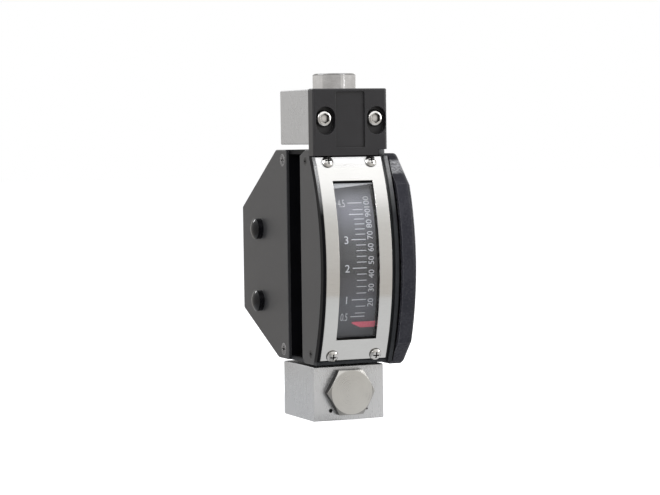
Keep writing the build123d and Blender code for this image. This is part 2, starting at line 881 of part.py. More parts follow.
with BuildPart() as window_glass:
    with BuildSketch(Plane.YZ.offset(-glass_width / 2 + tube_play)):
        add(
            curved_strip(
                glass_inner,
                case_radius,
                glass_bottom + tube_play,
                glass_top - tube_play,
            )
        )
    extrude(amount=glass_width - 2 * tube_play)
window_glass.part.label = "window_glass"
export_step(window_glass.part, "parts/window_glass.step")

with BuildPart() as bezel:
    with BuildSketch(Plane.YZ.offset(-bezel_width / 2)):
        add(curved_strip(case_radius, front_radius, bezel_low, bezel_high))
    extrude(amount=bezel_width)
    with BuildSketch(Plane.YZ.offset(-bezel_window_left)):
        add(
            curved_strip(
                case_radius - cut_margin,
                front_radius + cut_margin,
                case_bottom + bezel_window_low,
                step_z - bezel_window_top_gap,
            )
        )
    extrude(amount=bezel_window_left + bezel_window_right, mode=Mode.SUBTRACT)
    with Locations(
        *[
            on_front(side * bezel_screw_spread / 2, height, front_radius)
            for side in (-1, 1)
            for height in (bezel_screw_low, bezel_screw_high)
        ]
    ):
        Hole(bezel_screw_thread / 2 + thread_play, depth=2 * bezel_sheet)
bezel.part.label = "bezel"
export_step(bezel.part, "parts/bezel.step")

bezel_screw = pan_head_screw(bezel_screw_thread, bezel_screw_length, bezel_screw_head, screw_head_height)
with BuildPart() as bezel_screws:
    with Locations(
        *[
            on_front(side * bezel_screw_spread / 2, height, front_radius)
            for side in (-1, 1)
            for height in (bezel_screw_low, bezel_screw_high)
        ]
    ):
        add(bezel_screw)
bezel_screws.part.label = "bezel_screws"
export_step(bezel_screws.part, "parts/bezel_screws.step")

# Dial: a strip bent to an arc around the lever's pivot, on two posts under the bezel's left side
with BuildPart() as dial_plate:
    with BuildSketch(Plane.YZ.offset(-dial_left)):
        with BuildLine():
            ThreePointArc(
                pivot_point(dial_radius, dial_low),
                pivot_point(dial_radius, pivot_z),
                pivot_point(dial_radius, dial_high),
            )
            ThreePointArc(
                pivot_point(dial_back, dial_low),
                pivot_point(dial_back, pivot_z),
                pivot_point(dial_back, dial_high),
            )
            Line(pivot_point(dial_radius, dial_low), pivot_point(dial_back, dial_low))
            Line(pivot_point(dial_radius, dial_high), pivot_point(dial_back, dial_high))
        make_face()
    extrude(amount=dial_left + dial_right)
    with Locations(
        *[
            hole_plane(-dial_post_x, pivot_point(dial_radius, z)[0] - cut_margin, z, (0, -1, 0))
            for z in (dial_screw_low, dial_screw_high)
        ]
    ):
        Hole(dial_screw_thread / 2 + thread_play, depth=cut_margin + dial_screw_length)
dial_plate.part.label = "dial_plate"
export_step(dial_plate.part, "parts/dial_plate.step")

dial_screw = pan_head_screw(
    dial_screw_thread, dial_screw_length, dial_screw_head, dial_screw_head_height
)
with BuildPart() as dial_screws:
    with Locations(
        *[
            hole_plane(-dial_post_x, pivot_point(dial_radius, z)[0] - dial_screw_lift, z, (0, -1, 0))
            for z in (dial_screw_low, dial_screw_high)
        ]
    ):
        add(dial_screw)
dial_screws.part.label = "dial_screws"
export_step(dial_screws.part, "parts/dial_screws.step")

# Left side plates
plate_radius = front_radius - plate_rim_depth - plate_rim_gap
front_plate_back = [
    (front_y(plate_radius, step_z), case_top),
    (-slot_front - plate_top_cut, case_top),
    (-slot_front, case_top - plate_corner),
    (-slot_front, case_bottom + plate_corner),
    (-slot_front - plate_corner, case_bottom),
]
with BuildPart() as front_side_plate:
    with BuildSketch(Plane.YZ.offset(-plate_left)):
        add(side_outline(plate_radius, case_bottom, step_z, front_plate_back))
    extrude(amount=plate_sheet)
    chamfer(front_side_plate.faces().sort_by(Axis.X)[0].edges(), plate_edge)
    with Locations(
        *[
            hole_plane(-plate_left, y, z, (-1, 0, 0))
            for y, z in (plate_screw_front_high, plate_screw_front_low)
        ]
    ):
        CounterSinkHole(
            plate_screw_thread / 2 + thread_play,
            front_plate_screw_head / 2 + thread_play,
            depth=plate_sheet,
            counter_sink_angle=90,
        )
front_side_plate.part.label = "front_side_plate"
export_step(front_side_plate.part, "parts/front_side_plate.step")

plate_screw_length = plate_sheet + small_screw_length
front_plate_screw = countersunk_screw(plate_screw_thread, plate_screw_length, front_plate_screw_head)
with BuildPart() as front_plate_screws:
    with Locations(
        *[
            hole_plane(-plate_left, y, z, (-1, 0, 0))
            for y, z in (plate_screw_front_high, plate_screw_front_low)
        ]
    ):
        add(front_plate_screw)
front_plate_screws.part.label = "front_plate_screws"
export_step(front_plate_screws.part, "parts/front_plate_screws.step")

hole_plug_y = case_rear - hole_plug_from_rear
hole_plug_heights = (
    slope_low_z + hole_plug_above_low_corner,
    slope_high_z - hole_plug_below_high_corner,
)
with BuildPart() as rear_side_plate:
    with BuildSketch(Plane.YZ.offset(-plate_left)):
        Polygon(
            (slot_rear, case_bottom),
            *reversed(rear_points),
            (slot_rear, case_top),
            align=None,
        )
    extrude(amount=plate_sheet)
    plate_corners = rear_side_plate.edges().filter_by(Axis.X).group_by(Axis.Y)
    fillet(plate_corners[1], plate_slope_round)
    plate_corners = rear_side_plate.edges().filter_by(Axis.X).group_by(Axis.Y)
    fillet(plate_corners[0] + plate_corners[-1], plate_small_round)
    chamfer(rear_side_plate.faces().sort_by(Axis.X)[0].edges(), plate_edge)
    with Locations(
        *[
            hole_plane(-plate_left, y, z, (-1, 0, 0))
            for y, z in (plate_screw_rear_high, plate_screw_rear_low)
        ]
    ):
        CounterSinkHole(
            plate_screw_thread / 2 + thread_play,
            rear_plate_screw_head / 2 + thread_play,
            depth=plate_sheet,
            counter_sink_angle=90,
        )
    with Locations(*[hole_plane(-plate_left, hole_plug_y, z, (-1, 0, 0)) for z in hole_plug_heights]):
        Hole(hole_plug_stem / 2 + thread_play, depth=plate_sheet)
rear_side_plate.part.label = "rear_side_plate"
export_step(rear_side_plate.part, "parts/rear_side_plate.step")

rear_plate_screw = countersunk_screw(plate_screw_thread, plate_screw_length, rear_plate_screw_head)
with BuildPart() as rear_plate_screws:
    with Locations(
        *[
            hole_plane(-plate_left, y, z, (-1, 0, 0))
            for y, z in (plate_screw_rear_high, plate_screw_rear_low)
        ]
    ):
        add(rear_plate_screw)
rear_plate_screws.part.label = "rear_plate_screws"
export_step(rear_plate_screws.part, "parts/rear_plate_screws.step")

# Domed plugs in the two spare holes of the rear plate, each with a grooved stem
plug_round = hole_plug_diameter / 2
stem_round = hole_plug_stem / 2
stem_end = -plate_sheet - hole_plug_stem_end
barb_z = -plate_sheet - hole_plug_barb_gap
with BuildPart() as hole_plug:
    with BuildSketch(Plane.XZ):
        with BuildLine():
            Polyline((0, hole_plug_dome), (0, stem_end), (stem_round - hole_plug_taper, stem_end))
            Polyline(
                (stem_round - hole_plug_taper, stem_end),
                (stem_round + hole_plug_barb, barb_z - hole_plug_barb),
                (stem_round, barb_z),
                (stem_round, 0),
                (plug_round, 0),
                (plug_round, hole_plug_rim),
            )
            ThreePointArc(
                (plug_round, hole_plug_rim),
                dome_middle(plug_round, hole_plug_rim, hole_plug_dome),
                (0, hole_plug_dome),
            )
        make_face()
    revolve(axis=Axis.Z)
with BuildPart() as hole_plugs:
    with Locations(*[hole_plane(-plate_left, hole_plug_y, z, (-1, 0, 0)) for z in hole_plug_heights]):
        add(hole_plug.part)
hole_plugs.part.label = "hole_plugs"
export_step(hole_plugs.part, "parts/hole_plugs.step")

# Right side: a thin gasket on the open face of the case, and the dished cover over the lever
cover_radius = front_radius + cover_overhang
cover_back = [
    (step_y + cover_top_start - cover_corner_run, cover_top - cover_corner_height),
    (step_y + cover_top_start, cover_top),
    (slope_start, cover_top),
    (case_rear, slope_high_z),
    (case_rear, slope_low_z),
    (slope_start, cover_bottom),
    (step_y - cover_low_start, cover_bottom),
    (step_y - cover_low_start - cover_corner_run, cover_bottom + cover_corner_height),
]
cover_arc_low = case_bottom + cover_arc_rise
cover_arc_high = case_top - cover_arc_drop
cover_outline = side_outline(cover_radius, cover_arc_low, cover_arc_high, cover_back)
gasket_top = cover_top - cover_gasket_inset
gasket_points = [(step_y, step_z), (step_y, gasket_top), (slope_start, gasket_top)] + rear_points[1:]
with BuildSketch() as gasket_hole:
    add(side_outline(case_radius, case_bottom, step_z, case_points))
    offset(amount=-case_wall, mode=Mode.REPLACE)
    with Locations((0, cavity_low)):
        Rectangle(
            4 * case_rear,
            cavity_high - cavity_low,
            align=(Align.CENTER, Align.MIN),
            mode=Mode.INTERSECT,
        )
with BuildPart() as side_cover_gasket:
    with BuildSketch(Plane.YZ.offset(case_right)):
        add(side_outline(front_radius, case_bottom, step_z, gasket_points))
        offset(amount=-cover_gasket_edge, mode=Mode.REPLACE)
        add(gasket_hole.sketch, mode=Mode.SUBTRACT)
        with Locations(*cover_screw_places):
            Circle(plate_screw_thread / 2 + thread_play, mode=Mode.SUBTRACT)
    extrude(amount=cover_gasket)
side_cover_gasket.part.label = "side_cover_gasket"
export_step(side_cover_gasket.part, "parts/side_cover_gasket.step")

with BuildPart() as side_cover:
    with BuildSketch(Plane.YZ.offset(cover_seat)):
        add(cover_outline)
    extrude(amount=cover_depth)
    fillet(side_cover.faces().sort_by(Axis.X)[-1].edges(), cover_edge)
    with BuildSketch(Plane.YZ.offset(cover_seat)):
        add(cover_outline)
        offset(amount=-cover_wall, kind=Kind.INTERSECTION, mode=Mode.REPLACE)
    extrude(amount=cover_depth - cover_wall, mode=Mode.SUBTRACT)
    with BuildSketch(Plane.YZ.offset(cover_seat)):
        with Locations(*cover_screw_places):
            Circle(cover_screw_head / 2 + cover_boss_wall)
    extrude(amount=cover_depth - cover_wall / 2)
    with Locations(*[hole_plane(cover_seat + cover_depth, y, z, (1, 0, 0)) for y, z in cover_screw_places]):
        CounterSinkHole(
            plate_screw_thread / 2 + thread_play,
            cover_screw_head / 2 + thread_play,
            depth=cover_depth,
            counter_sink_angle=90,
        )
side_cover.part.label = "side_cover"
export_step(side_cover.part, "parts/side_cover.step")

cover_screw = countersunk_screw(
    plate_screw_thread,
    cover_depth + cover_gasket + small_screw_length,
    cover_screw_head,
)
with BuildPart() as side_cover_screws:
    with Locations(*[hole_plane(cover_seat + cover_depth, y, z, (1, 0, 0)) for y, z in cover_screw_places]):
        add(cover_screw)
side_cover_screws.part.label = "side_cover_screws"
export_step(side_cover_screws.part, "parts/side_cover_screws.step")

# Head cover: a cap on the front of the outlet block, with a sunk middle panel and two slotted recesses
head_cover_bottom = outlet_z - head_cover_drop
head_cover_front = half_block + head_cover_depth
with BuildPart() as head_cover:
    with BuildSketch(Plane.XZ.offset(half_block)):
        with Locations((-head_cover_left, head_cover_bottom)):
            Rectangle(head_cover_left + head_cover_right, head_cover_height, align=(Align.MIN, Align.MIN))
        with Locations((head_cover_right, head_cover_bottom)):
            Rectangle(head_notch, head_notch_height, align=(Align.MAX, Align.MIN), mode=Mode.SUBTRACT)
    extrude(amount=head_cover_depth)
    fillet(head_cover.edges().filter_by(Axis.Z).group_by(Axis.Y)[0].sort_by(Axis.X)[0], head_edge_left)
    fillet(head_cover.edges().filter_by(Axis.Z).group_by(Axis.Y)[0].sort_by(Axis.X)[-1], head_edge_right)
    fillet(head_cover.edges().filter_by(Axis.X).group_by(Axis.Y)[0].sort_by(Axis.Z)[-1], head_edge_top)
    panel_z = head_cover_bottom + head_cover_height / 2 + head_panel_above_middle
    with BuildSketch(Plane.XZ.offset(head_cover_front)):
        with Locations((head_panel_across, panel_z)):
            RectangleRounded(head_panel_width, head_panel_height, head_panel_corner)
    extrude(amount=-head_panel_depth, mode=Mode.SUBTRACT)
    with BuildSketch(Plane.XZ.offset(head_cover_front)):
        with Locations(*[(x, head_screw_z - head_slot_drop) for x in head_screw_xs]):
            SlotOverall(head_slot_height, head_slot_width, rotation=90)
    extrude(amount=-head_slot_depth, mode=Mode.SUBTRACT)
    with Locations(*[hole_plane(x, -head_cover_front, head_screw_z, (0, -1, 0)) for x in head_screw_xs]):
        Hole(head_screw_thread / 2 + thread_play, depth=head_cover_depth)
head_cover.part.label = "head_cover"
export_step(head_cover.part, "parts/head_cover.step")

head_screw = socket_screw(
    head_screw_thread,
    head_cover_depth - head_slot_depth + head_screw_grip,
    head_screw_head,
    head_screw_head_height,
)
head_screw_seat = -head_cover_front + head_slot_depth
with BuildPart() as head_cover_screws:
    with Locations(*[hole_plane(x, head_screw_seat, head_screw_z, (0, -1, 0)) for x in head_screw_xs]):
        add(head_screw)
head_cover_screws.part.label = "head_cover_screws"
export_step(head_cover_screws.part, "parts/head_cover_screws.step")

# Bearing bracket: a bent steel channel on the shelf, its two ears carrying the bushes
with BuildPart() as bearing_bracket:
    with BuildSketch(Plane.XY.offset(shelf_top)):
        with Locations((bracket_left, pivot_y)):
            Rectangle(bracket_right - bracket_left, 2 * bracket_half, align=(Align.MIN, Align.CENTER))
    extrude(amount=bracket_sheet)
    for ear_x in (bracket_left, bracket_right - bracket_sheet):
        with BuildSketch(Plane.YZ.offset(ear_x)):
            with Locations((pivot_y, shelf_top)):
                Rectangle(2 * bracket_half, pivot_z - shelf_top, align=(Align.CENTER, Align.MIN))
            with Locations((pivot_y, pivot_z)):
                Circle(bracket_half)
                Circle(bush_outer / 2 + thread_play, mode=Mode.SUBTRACT)
        extrude(amount=bracket_sheet)
    with Locations(*[(bracket_middle, y, shelf_top + bracket_sheet) for y in bracket_screw_ys]):
        Hole(bracket_screw_thread / 2 + thread_play, depth=bracket_sheet)
bearing_bracket.part.label = "bearing_bracket"
export_step(bearing_bracket.part, "parts/bearing_bracket.step")

bracket_screw = pan_head_screw(
    bracket_screw_thread,
    bracket_sheet + shelf_sheet,
    bracket_screw_head,
    bracket_screw_head_height,
)
with BuildPart() as bracket_screws:
    with Locations(*[(bracket_middle, y, shelf_top + bracket_sheet) for y in bracket_screw_ys]):
        add(bracket_screw)
bracket_screws.part.label = "bracket_screws"
export_step(bracket_screws.part, "parts/bracket_screws.step")

# Flanged bronze bushes, one in each ear, flanges inwards
with BuildPart() as pivot_bushes:
    for ear_x, flange_x in (
        (bracket_left, bracket_left + bracket_sheet),
        (bracket_right - bracket_sheet, bracket_right - bracket_sheet - bush_flange_sheet),
    ):
        with BuildSketch(Plane.YZ.offset(ear_x)):
            with Locations((pivot_y, pivot_z)):
                Circle(bush_outer / 2)
                Circle(shaft_diameter / 2 + shaft_play, mode=Mode.SUBTRACT)
        extrude(amount=bracket_sheet)
        with BuildSketch(Plane.YZ.offset(flange_x)):
            with Locations((pivot_y, pivot_z)):
                Circle(bush_flange / 2)
                Circle(shaft_diameter / 2 + shaft_play, mode=Mode.SUBTRACT)
        extrude(amount=bush_flange_sheet)
pivot_bushes.part.label = "pivot_bushes"
export_step(pivot_bushes.part, "parts/pivot_bushes.step")

# Shaft with a groove near each end, and a spring clip in each groove
shaft_left = bracket_left - clip_gap - 2 * clip_sheet
shaft_right = bracket_right + clip_gap + 2 * clip_sheet
clip_places = (bracket_left - clip_gap - clip_sheet, bracket_right + clip_gap)
with BuildPart() as pivot_shaft:
    with BuildSketch(Plane.YZ.offset(shaft_left)):
        with Locations((pivot_y, pivot_z)):
            Circle(shaft_diameter / 2)
    extrude(amount=shaft_right - shaft_left)
    for clip_x in clip_places:
        with BuildSketch(Plane.YZ.offset(clip_x)):
            with Locations((pivot_y, pivot_z)):
                Circle(shaft_diameter / 2)
                Circle(shaft_diameter / 2 - clip_groove, mode=Mode.SUBTRACT)
        extrude(amount=clip_sheet, mode=Mode.SUBTRACT)
pivot_shaft.part.label = "pivot_shaft"
export_step(pivot_shaft.part, "parts/pivot_shaft.step")

with BuildPart() as shaft_clips:
    for clip_x in clip_places:
        with BuildSketch(Plane.YZ.offset(clip_x)):
            with Locations((pivot_y, pivot_z)):
                Circle(clip_outer / 2)
                Circle(shaft_diameter / 2 - clip_groove + thread_play, mode=Mode.SUBTRACT)
            with Locations((pivot_y, pivot_z + clip_outer / 2)):
                Rectangle(clip_mouth, clip_outer, mode=Mode.SUBTRACT)
        extrude(amount=clip_sheet)
shaft_clips.part.label = "shaft_clips"
export_step(shaft_clips.part, "parts/shaft_clips.step")

# Lever frame at rest: x runs along the lever to the pointer, z runs to the right
lever_cos = cos(radians(rest_angle))
lever_sin = sin(radians(rest_angle))


def lever_plane(x):
    """Plane square to the pivot at this x, its own x axis along the lever at rest."""
    return Plane(origin=(x, pivot_y, pivot_z), x_dir=(0, -lever_cos, -lever_sin), z_dir=(1, 0, 0))


def reach_plane(reach):
    """Plane square to the lever at this reach, its own x axis to the right and z along the lever."""
    return Plane(
        origin=(0, pivot_y - reach * lever_cos, pivot_z - reach * lever_sin),
        x_dir=(1, 0, 0),
        z_dir=(0, -lever_cos, -lever_sin),
    )


with BuildPart() as lever_hub:
    with BuildSketch(Plane.YZ.offset(hub_left)):
        with Locations((pivot_y, pivot_z)):
            Circle(hub_diameter / 2)
            Circle(shaft_diameter / 2 + thread_play, mode=Mode.SUBTRACT)
    extrude(amount=lever_x - hub_left)
    with BuildSketch(Plane.YZ.offset(lever_x)):
        with Locations((pivot_y, pivot_z)):
            Circle(hub_spigot / 2)
            Circle(shaft_diameter / 2 + thread_play, mode=Mode.SUBTRACT)
    extrude(amount=hub_right - lever_x)
lever_hub.part.label = "lever_hub"
export_step(lever_hub.part, "parts/lever_hub.step")

# Lever: a bent strip with pads for the hub, magnet and balance weight, and a tab stepped to the front
tab_reach = pointer_reach - pointer_sheet
tab_root = tab_reach - lever_tab_length
tab_half = pointer_height / 2 - lever_tab_play
with BuildPart() as pointer_lever:
    with BuildSketch(lever_plane(lever_x)):
        Polygon(
            (0, lever_root_half),
            (0, -lever_root_half),
            (tab_root + lever_tab, pointer_drop - tab_half),
            (tab_root + lever_tab, pointer_drop + tab_half),
            align=None,
        )
        with Locations((-balance_reach / 2, 0)):
            Rectangle(balance_reach, balance_arm)
        Circle(lever_hub_round / 2)
        with Locations((-balance_reach, 0)):
            Circle(balance_diameter / 2)
        with Locations((magnet_reach, 0)):
            Circle(lever_magnet_diameter / 2 + lever_magnet_edge)
        Circle(hub_spigot / 2 + thread_play, mode=Mode.SUBTRACT)
    extrude(amount=lever_sheet)
    with BuildSketch(reach_plane(tab_root)):
        with Locations((lever_tab_x, -pointer_drop)):
            Rectangle(lever_x + lever_sheet - lever_tab_x, 2 * tab_half, align=(Align.MIN, Align.CENTER))
    extrude(amount=lever_tab)
    with BuildSketch(reach_plane(tab_root)):
        with Locations((lever_tab_x, -pointer_drop)):
            Rectangle(lever_tab, 2 * tab_half, align=(Align.MIN, Align.CENTER))
    extrude(amount=tab_reach - tab_root)
    with BuildSketch(reach_plane(tab_reach - pointer_sheet)):
        with Locations((lever_tab_x + lever_tab, -pointer_drop)):
            Rectangle(lever_tab_x - dial_right + lever_foot, 2 * tab_half, align=(Align.MAX, Align.CENTER))
    extrude(amount=pointer_sheet)
pointer_lever.part.label = "pointer_lever"
export_step(pointer_lever.part, "parts/pointer_lever.step")

# Pointer: a red blade on the lever's tab, cut to a slant below its tip
blade_top = pointer_height / 2 - pointer_drop
blade_bottom = blade_top - pointer_height
with BuildPart() as pointer:
    with BuildSketch(reach_plane(tab_reach)):
        Polygon(
            (-pointer_tip, blade_top - pointer_tip_down),
            (-pointer_tip + pointer_tip_slant, blade_bottom),
            (dial_right, blade_bottom),
            (dial_right, blade_top),
            (-pointer_tip + pointer_tip_top, blade_top),
            align=None,
        )
    extrude(amount=pointer_sheet)
pointer.part.label = "pointer"
export_step(pointer.part, "parts/pointer.step")

with BuildPart() as lever_magnet:
    with BuildSketch(lever_plane(lever_magnet_x)):
        with Locations((magnet_reach, 0)):
            Circle(lever_magnet_diameter / 2)
    extrude(amount=lever_x - lever_magnet_x)
lever_magnet.part.label = "lever_magnet"
export_step(lever_magnet.part, "parts/lever_magnet.step")

with BuildPart() as balance_weight:
    with BuildSketch(lever_plane(bracket_left)):
        with Locations((-balance_reach, 0)):
            Circle(balance_diameter / 2)
    extrude(amount=lever_x - bracket_left)
balance_weight.part.label = "balance_weight"
export_step(balance_weight.part, "parts/balance_weight.step")
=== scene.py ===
import math

import bpy
import numpy as np
from mathutils import Matrix, Vector


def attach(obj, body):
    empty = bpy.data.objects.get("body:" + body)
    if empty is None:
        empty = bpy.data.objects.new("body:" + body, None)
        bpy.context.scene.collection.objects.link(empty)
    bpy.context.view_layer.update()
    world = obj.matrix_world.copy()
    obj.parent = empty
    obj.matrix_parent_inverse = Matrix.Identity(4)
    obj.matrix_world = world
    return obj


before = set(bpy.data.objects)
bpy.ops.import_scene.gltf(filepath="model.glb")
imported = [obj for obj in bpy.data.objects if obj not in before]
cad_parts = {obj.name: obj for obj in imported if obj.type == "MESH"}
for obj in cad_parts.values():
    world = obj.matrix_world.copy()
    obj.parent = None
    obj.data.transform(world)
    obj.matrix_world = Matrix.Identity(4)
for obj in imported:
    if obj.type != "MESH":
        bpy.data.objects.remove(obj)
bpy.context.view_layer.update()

# The view of the photograph: a long lens a metre away, to the left of the dial and a little above
# it. The angles, the lens and the distance come from a camera fitted to the corners of both blocks.
mm = 0.001
view_azimuth = math.radians(-23.266)
view_pitch = math.radians(2.934)
view_roll = math.radians(-0.762)
view_distance = 1095.54 * mm
view_aim = Vector((0, 0, 90 * mm))
view_aside = -0.752 * mm
view_up = -5.386 * mm
lens_length = 119.21
sensor_width = 36.0

away = Vector(
    (
        math.sin(view_azimuth) * math.cos(view_pitch),
        -math.cos(view_azimuth) * math.cos(view_pitch),
        math.sin(view_pitch),
    )
)
level_right = Vector((math.cos(view_azimuth), math.sin(view_azimuth), 0))
level_up = away.cross(level_right)
rolled_right = math.cos(view_roll) * level_right + math.sin(view_roll) * level_up
rolled_up = -math.sin(view_roll) * level_right + math.cos(view_roll) * level_up
camera_data = bpy.data.cameras.new("photo_camera")
camera_data.sensor_width = sensor_width
camera_data.lens = lens_length
camera_data.clip_start = 10 * mm
camera_data.clip_end = 20.0
camera = bpy.data.objects.new("photo_camera", camera_data)
bpy.context.scene.collection.objects.link(camera)
turn = Matrix((rolled_right, rolled_up, away)).transposed().to_4x4()
stand = view_aim + away * view_distance + level_right * view_aside + level_up * view_up
camera.matrix_world = Matrix.Translation(stand) @ turn
bpy.context.scene.camera = camera
bpy.context.scene.view_settings.view_transform = "Standard"

# The studio: a white floor that keeps the meter's soft shadow, and white surroundings. What the
# steel mirrors is set apart from that: a table top near the meter, a warmer floor beyond it, and a
# room that is grey near the horizon, bright overhead and darker where the photograph was taken.
floor_half = 6.0
floor_colour = (0.80, 0.80, 0.80, 1)
floor_glow = 0.70
room_white = (1.0, 1.0, 1.0, 1)
room_ambient = (0.42, 0.43, 0.45, 1)
mirrored_peak = 1.6
mirrored_floor = (
    (0.00, (0.745, 0.750, 0.760)),
    (0.224, (0.745, 0.750, 0.755)),
    (0.228, (0.640, 0.615, 0.580)),
    (0.60, (0.665, 0.640, 0.610)),
    (1.50, (0.700, 0.680, 0.655)),
)
mirrored_room = (
    (0.00, (0.700, 0.680, 0.655)),
    (0.24, (0.775, 0.760, 0.735)),
    (0.38, (0.900, 0.895, 0.885)),
    (0.48, (1.220, 1.220, 1.215)),
    (0.58, (1.400, 1.400, 1.400)),
    (0.80, (1.500, 1.500, 1.500)),
    (0.90, (0.900, 0.900, 0.900)),
    (1.00, (0.850, 0.850, 0.850)),
)
camera_patch = 0.55
patch_edge = 0.93
patch_core = 0.985


def add_node(tree, kind, settings=(), values=()):
    """A shader node of this kind. A value that is itself a socket is linked, any other typed in."""
    made = tree.nodes.new(kind)
    for name, setting in dict(settings).items():
        setattr(made, name, setting)
    for name, value in dict(values).items():
        if isinstance(value, bpy.types.NodeSocket):
            tree.links.new(value, made.inputs[name])
        else:
            made.inputs[name].default_value = value
    return made


def maths(tree, operation, *values):
    """The result of one maths node on these values, each of them a number or a socket."""
    return add_node(tree, "ShaderNodeMath", {"operation": operation}, enumerate(values)).outputs[0]


def vectors(tree, operation, *values, out=0):
    """The result of one vector maths node. Where the result is a number, out is "Value"."""
    made = add_node(tree, "ShaderNodeVectorMath", {"operation": operation}, enumerate(values))
    return made.outputs[out]


def spread(tree, value, low, high, to_low=0.0, to_high=1.0):
    """The value carried from the range low to high onto to_low to to_high, and kept inside it."""
    ends = {"Value": value, "From Min": low, "From Max": high, "To Min": to_low, "To Max": to_high}
    return add_node(tree, "ShaderNodeMapRange", values=ends).outputs[0]


def mix_shaders(tree, share, first, second):
    """The shader between first and second at this share."""
    return add_node(tree, "ShaderNodeMixShader", values={0: share, 1: first, 2: second}).outputs[0]


def open_material(name):
    """An empty node material, its tree and its output."""
    material = bpy.data.materials.new(name)
    material.use_nodes = True
    tree = material.node_tree
    tree.nodes.clear()
    return material, tree, add_node(tree, "ShaderNodeOutputMaterial")


def colour_steps(tree, where, steps, peak, reach):
    """A colour ramp through steps of (place, colour), with places as a share of reach and colours
    as a share of peak."""
    ramp = add_node(tree, "ShaderNodeValToRGB", values={0: where})
    stops = ramp.color_ramp.elements
    while len(stops) < len(steps):
        stops.new(0.5)
    for stop, (place, colour) in zip(stops, steps):
        stop.position = place / reach
        stop.color = [part / peak for part in colour] + [1]
    return ramp.outputs[0]


def camera_shade(tree, towards):
    """A factor for what is mirrored: 1, falling to camera_patch where the direction meets the
    place that the photograph was taken from."""
    unit = vectors(tree, "NORMALIZE", towards)
    near = vectors(tree, "DOT_PRODUCT", unit, away, out="Value")
    return spread(tree, near, patch_edge, patch_core, 1.0, camera_patch)


floor_material, tree, output = open_material("studio_floor")
path = add_node(tree, "ShaderNodeLightPath").outputs
position = add_node(tree, "ShaderNodeNewGeometry").outputs["Position"]
matte = add_node(tree, "ShaderNodeBsdfDiffuse", values={"Color": floor_colour}).outputs[0]
seen = maths(tree, "MAXIMUM", path["Is Camera Ray"], path["Is Transmission Ray"])
glow_strength = maths(tree, "MULTIPLY", seen, floor_glow)
glow = add_node(
    tree, "ShaderNodeEmission", values={"Color": room_white, "Strength": glow_strength}
).outputs[0]
both = add_node(tree, "ShaderNodeAddShader", values={0: matte, 1: glow}).outputs[0]
floor_reach = mirrored_floor[-1][0]
floor_share = maths(tree, "DIVIDE", vectors(tree, "LENGTH", position, out="Value"), floor_reach)
floor_seen = colour_steps(tree, floor_share, mirrored_floor, 1.0, floor_reach)
floor_mirrored = add_node(
    tree,
    "ShaderNodeEmission",
    values={"Color": floor_seen, "Strength": camera_shade(tree, position)},
).outputs[0]
either = mix_shaders(tree, path["Is Glossy Ray"], both, floor_mirrored)
tree.links.new(either, output.inputs["Surface"])
floor_mesh = bpy.data.meshes.new("studio_floor")
floor_corners = floor_half * np.array([(-1, -1, 0), (1, -1, 0), (1, 1, 0), (-1, 1, 0)])
floor_mesh.from_pydata(floor_corners.tolist(), [], [(0, 1, 2, 3)])
floor_mesh.materials.append(floor_material)
studio_floor = bpy.data.objects.new("studio_floor", floor_mesh)
bpy.context.scene.collection.objects.link(studio_floor)

world = bpy.data.worlds.new("studio")
world.use_nodes = True
bpy.context.scene.world = world
tree = world.node_tree
tree.nodes.clear()
path = add_node(tree, "ShaderNodeLightPath").outputs
direction = add_node(tree, "ShaderNodeTexCoord").outputs["Generated"]
rise = add_node(tree, "ShaderNodeSeparateXYZ", values={0: direction}).outputs["Z"]
room_seen = colour_steps(tree, rise, mirrored_room, mirrored_peak, 1.0)
room_strength = maths(tree, "MULTIPLY", camera_shade(tree, direction), mirrored_peak)
mirrored, ambient, white = [
    add_node(tree, "ShaderNodeBackground", values={0: colour, 1: strength}).outputs[0]
    for colour, strength in ((room_seen, room_strength), (room_ambient, 1.0), (room_white, 1.0))
]
seen = maths(tree, "MAXIMUM", path["Is Camera Ray"], path["Is Transmission Ray"])
lit = mix_shaders(tree, path["Is Glossy Ray"], ambient, mirrored)
add_node(tree, "ShaderNodeOutputWorld", values={0: mix_shaders(tree, seen, lit, white)})


def soft_box(name, place, width, height, power, mirrored=True):
    """A rectangular lamp at place that faces the meter, in metres and watts. Where mirrored is
    False, the steel does not show it."""
    lamp_data = bpy.data.lights.new(name, "AREA")
    lamp_data.shape = "RECTANGLE"
    lamp_data.size = width
    lamp_data.size_y = height
    lamp_data.energy = power
    lamp = bpy.data.objects.new(name, lamp_data)
    lamp.matrix_world = Matrix.Translation(place) @ (
        (Vector(place) - view_aim).to_track_quat("Z", "Y").to_matrix().to_4x4()
    )
    lamp.visible_glossy = mirrored
    bpy.context.scene.collection.objects.link(lamp)


soft_box("key_lamp", (-0.85, -0.55, 0.65), 0.45, 0.45, 3.8)
soft_box("glint_lamp", (-0.95, -0.55, 0.52), 0.09, 0.09, 0.9)
soft_box("top_lamp", (0.10, -0.20, 0.95), 0.55, 0.40, 6.0, mirrored=False)
soft_box("fill_lamp", (0.85, -0.55, 0.35), 0.35, 0.60, 2.6)
soft_box("left_rim_lamp", (-0.55, 1.00, 0.55), 0.16, 0.16, 1.2)
soft_box("right_rim_lamp", (1.00, 0.50, 0.30), 0.15, 0.50, 1.5)

# End blocks: two lengths of square stainless bar, sawn and faced, with chamfered edges. The long
# faces keep the fine drawn grain of the bar. Painted light makes them lighter in front and behind
# than at the sides, and painted shade darkens their edges, their hollows and the narrow gap under
# the case.
block_lit_tones = (
    ("Colour", (0.670, 0.670, 0.670, 1), (0.540, 0.544, 0.552, 1)),
    ("Shade", (0.630, 0.630, 0.630, 1), (0.505, 0.509, 0.517, 1)),
)
gap_shade = (0.08, 0.08, 0.08, 1)
gap_shade_heights = (26.80 * mm, 26.95 * mm, 27.5 * mm, 28.0 * mm)


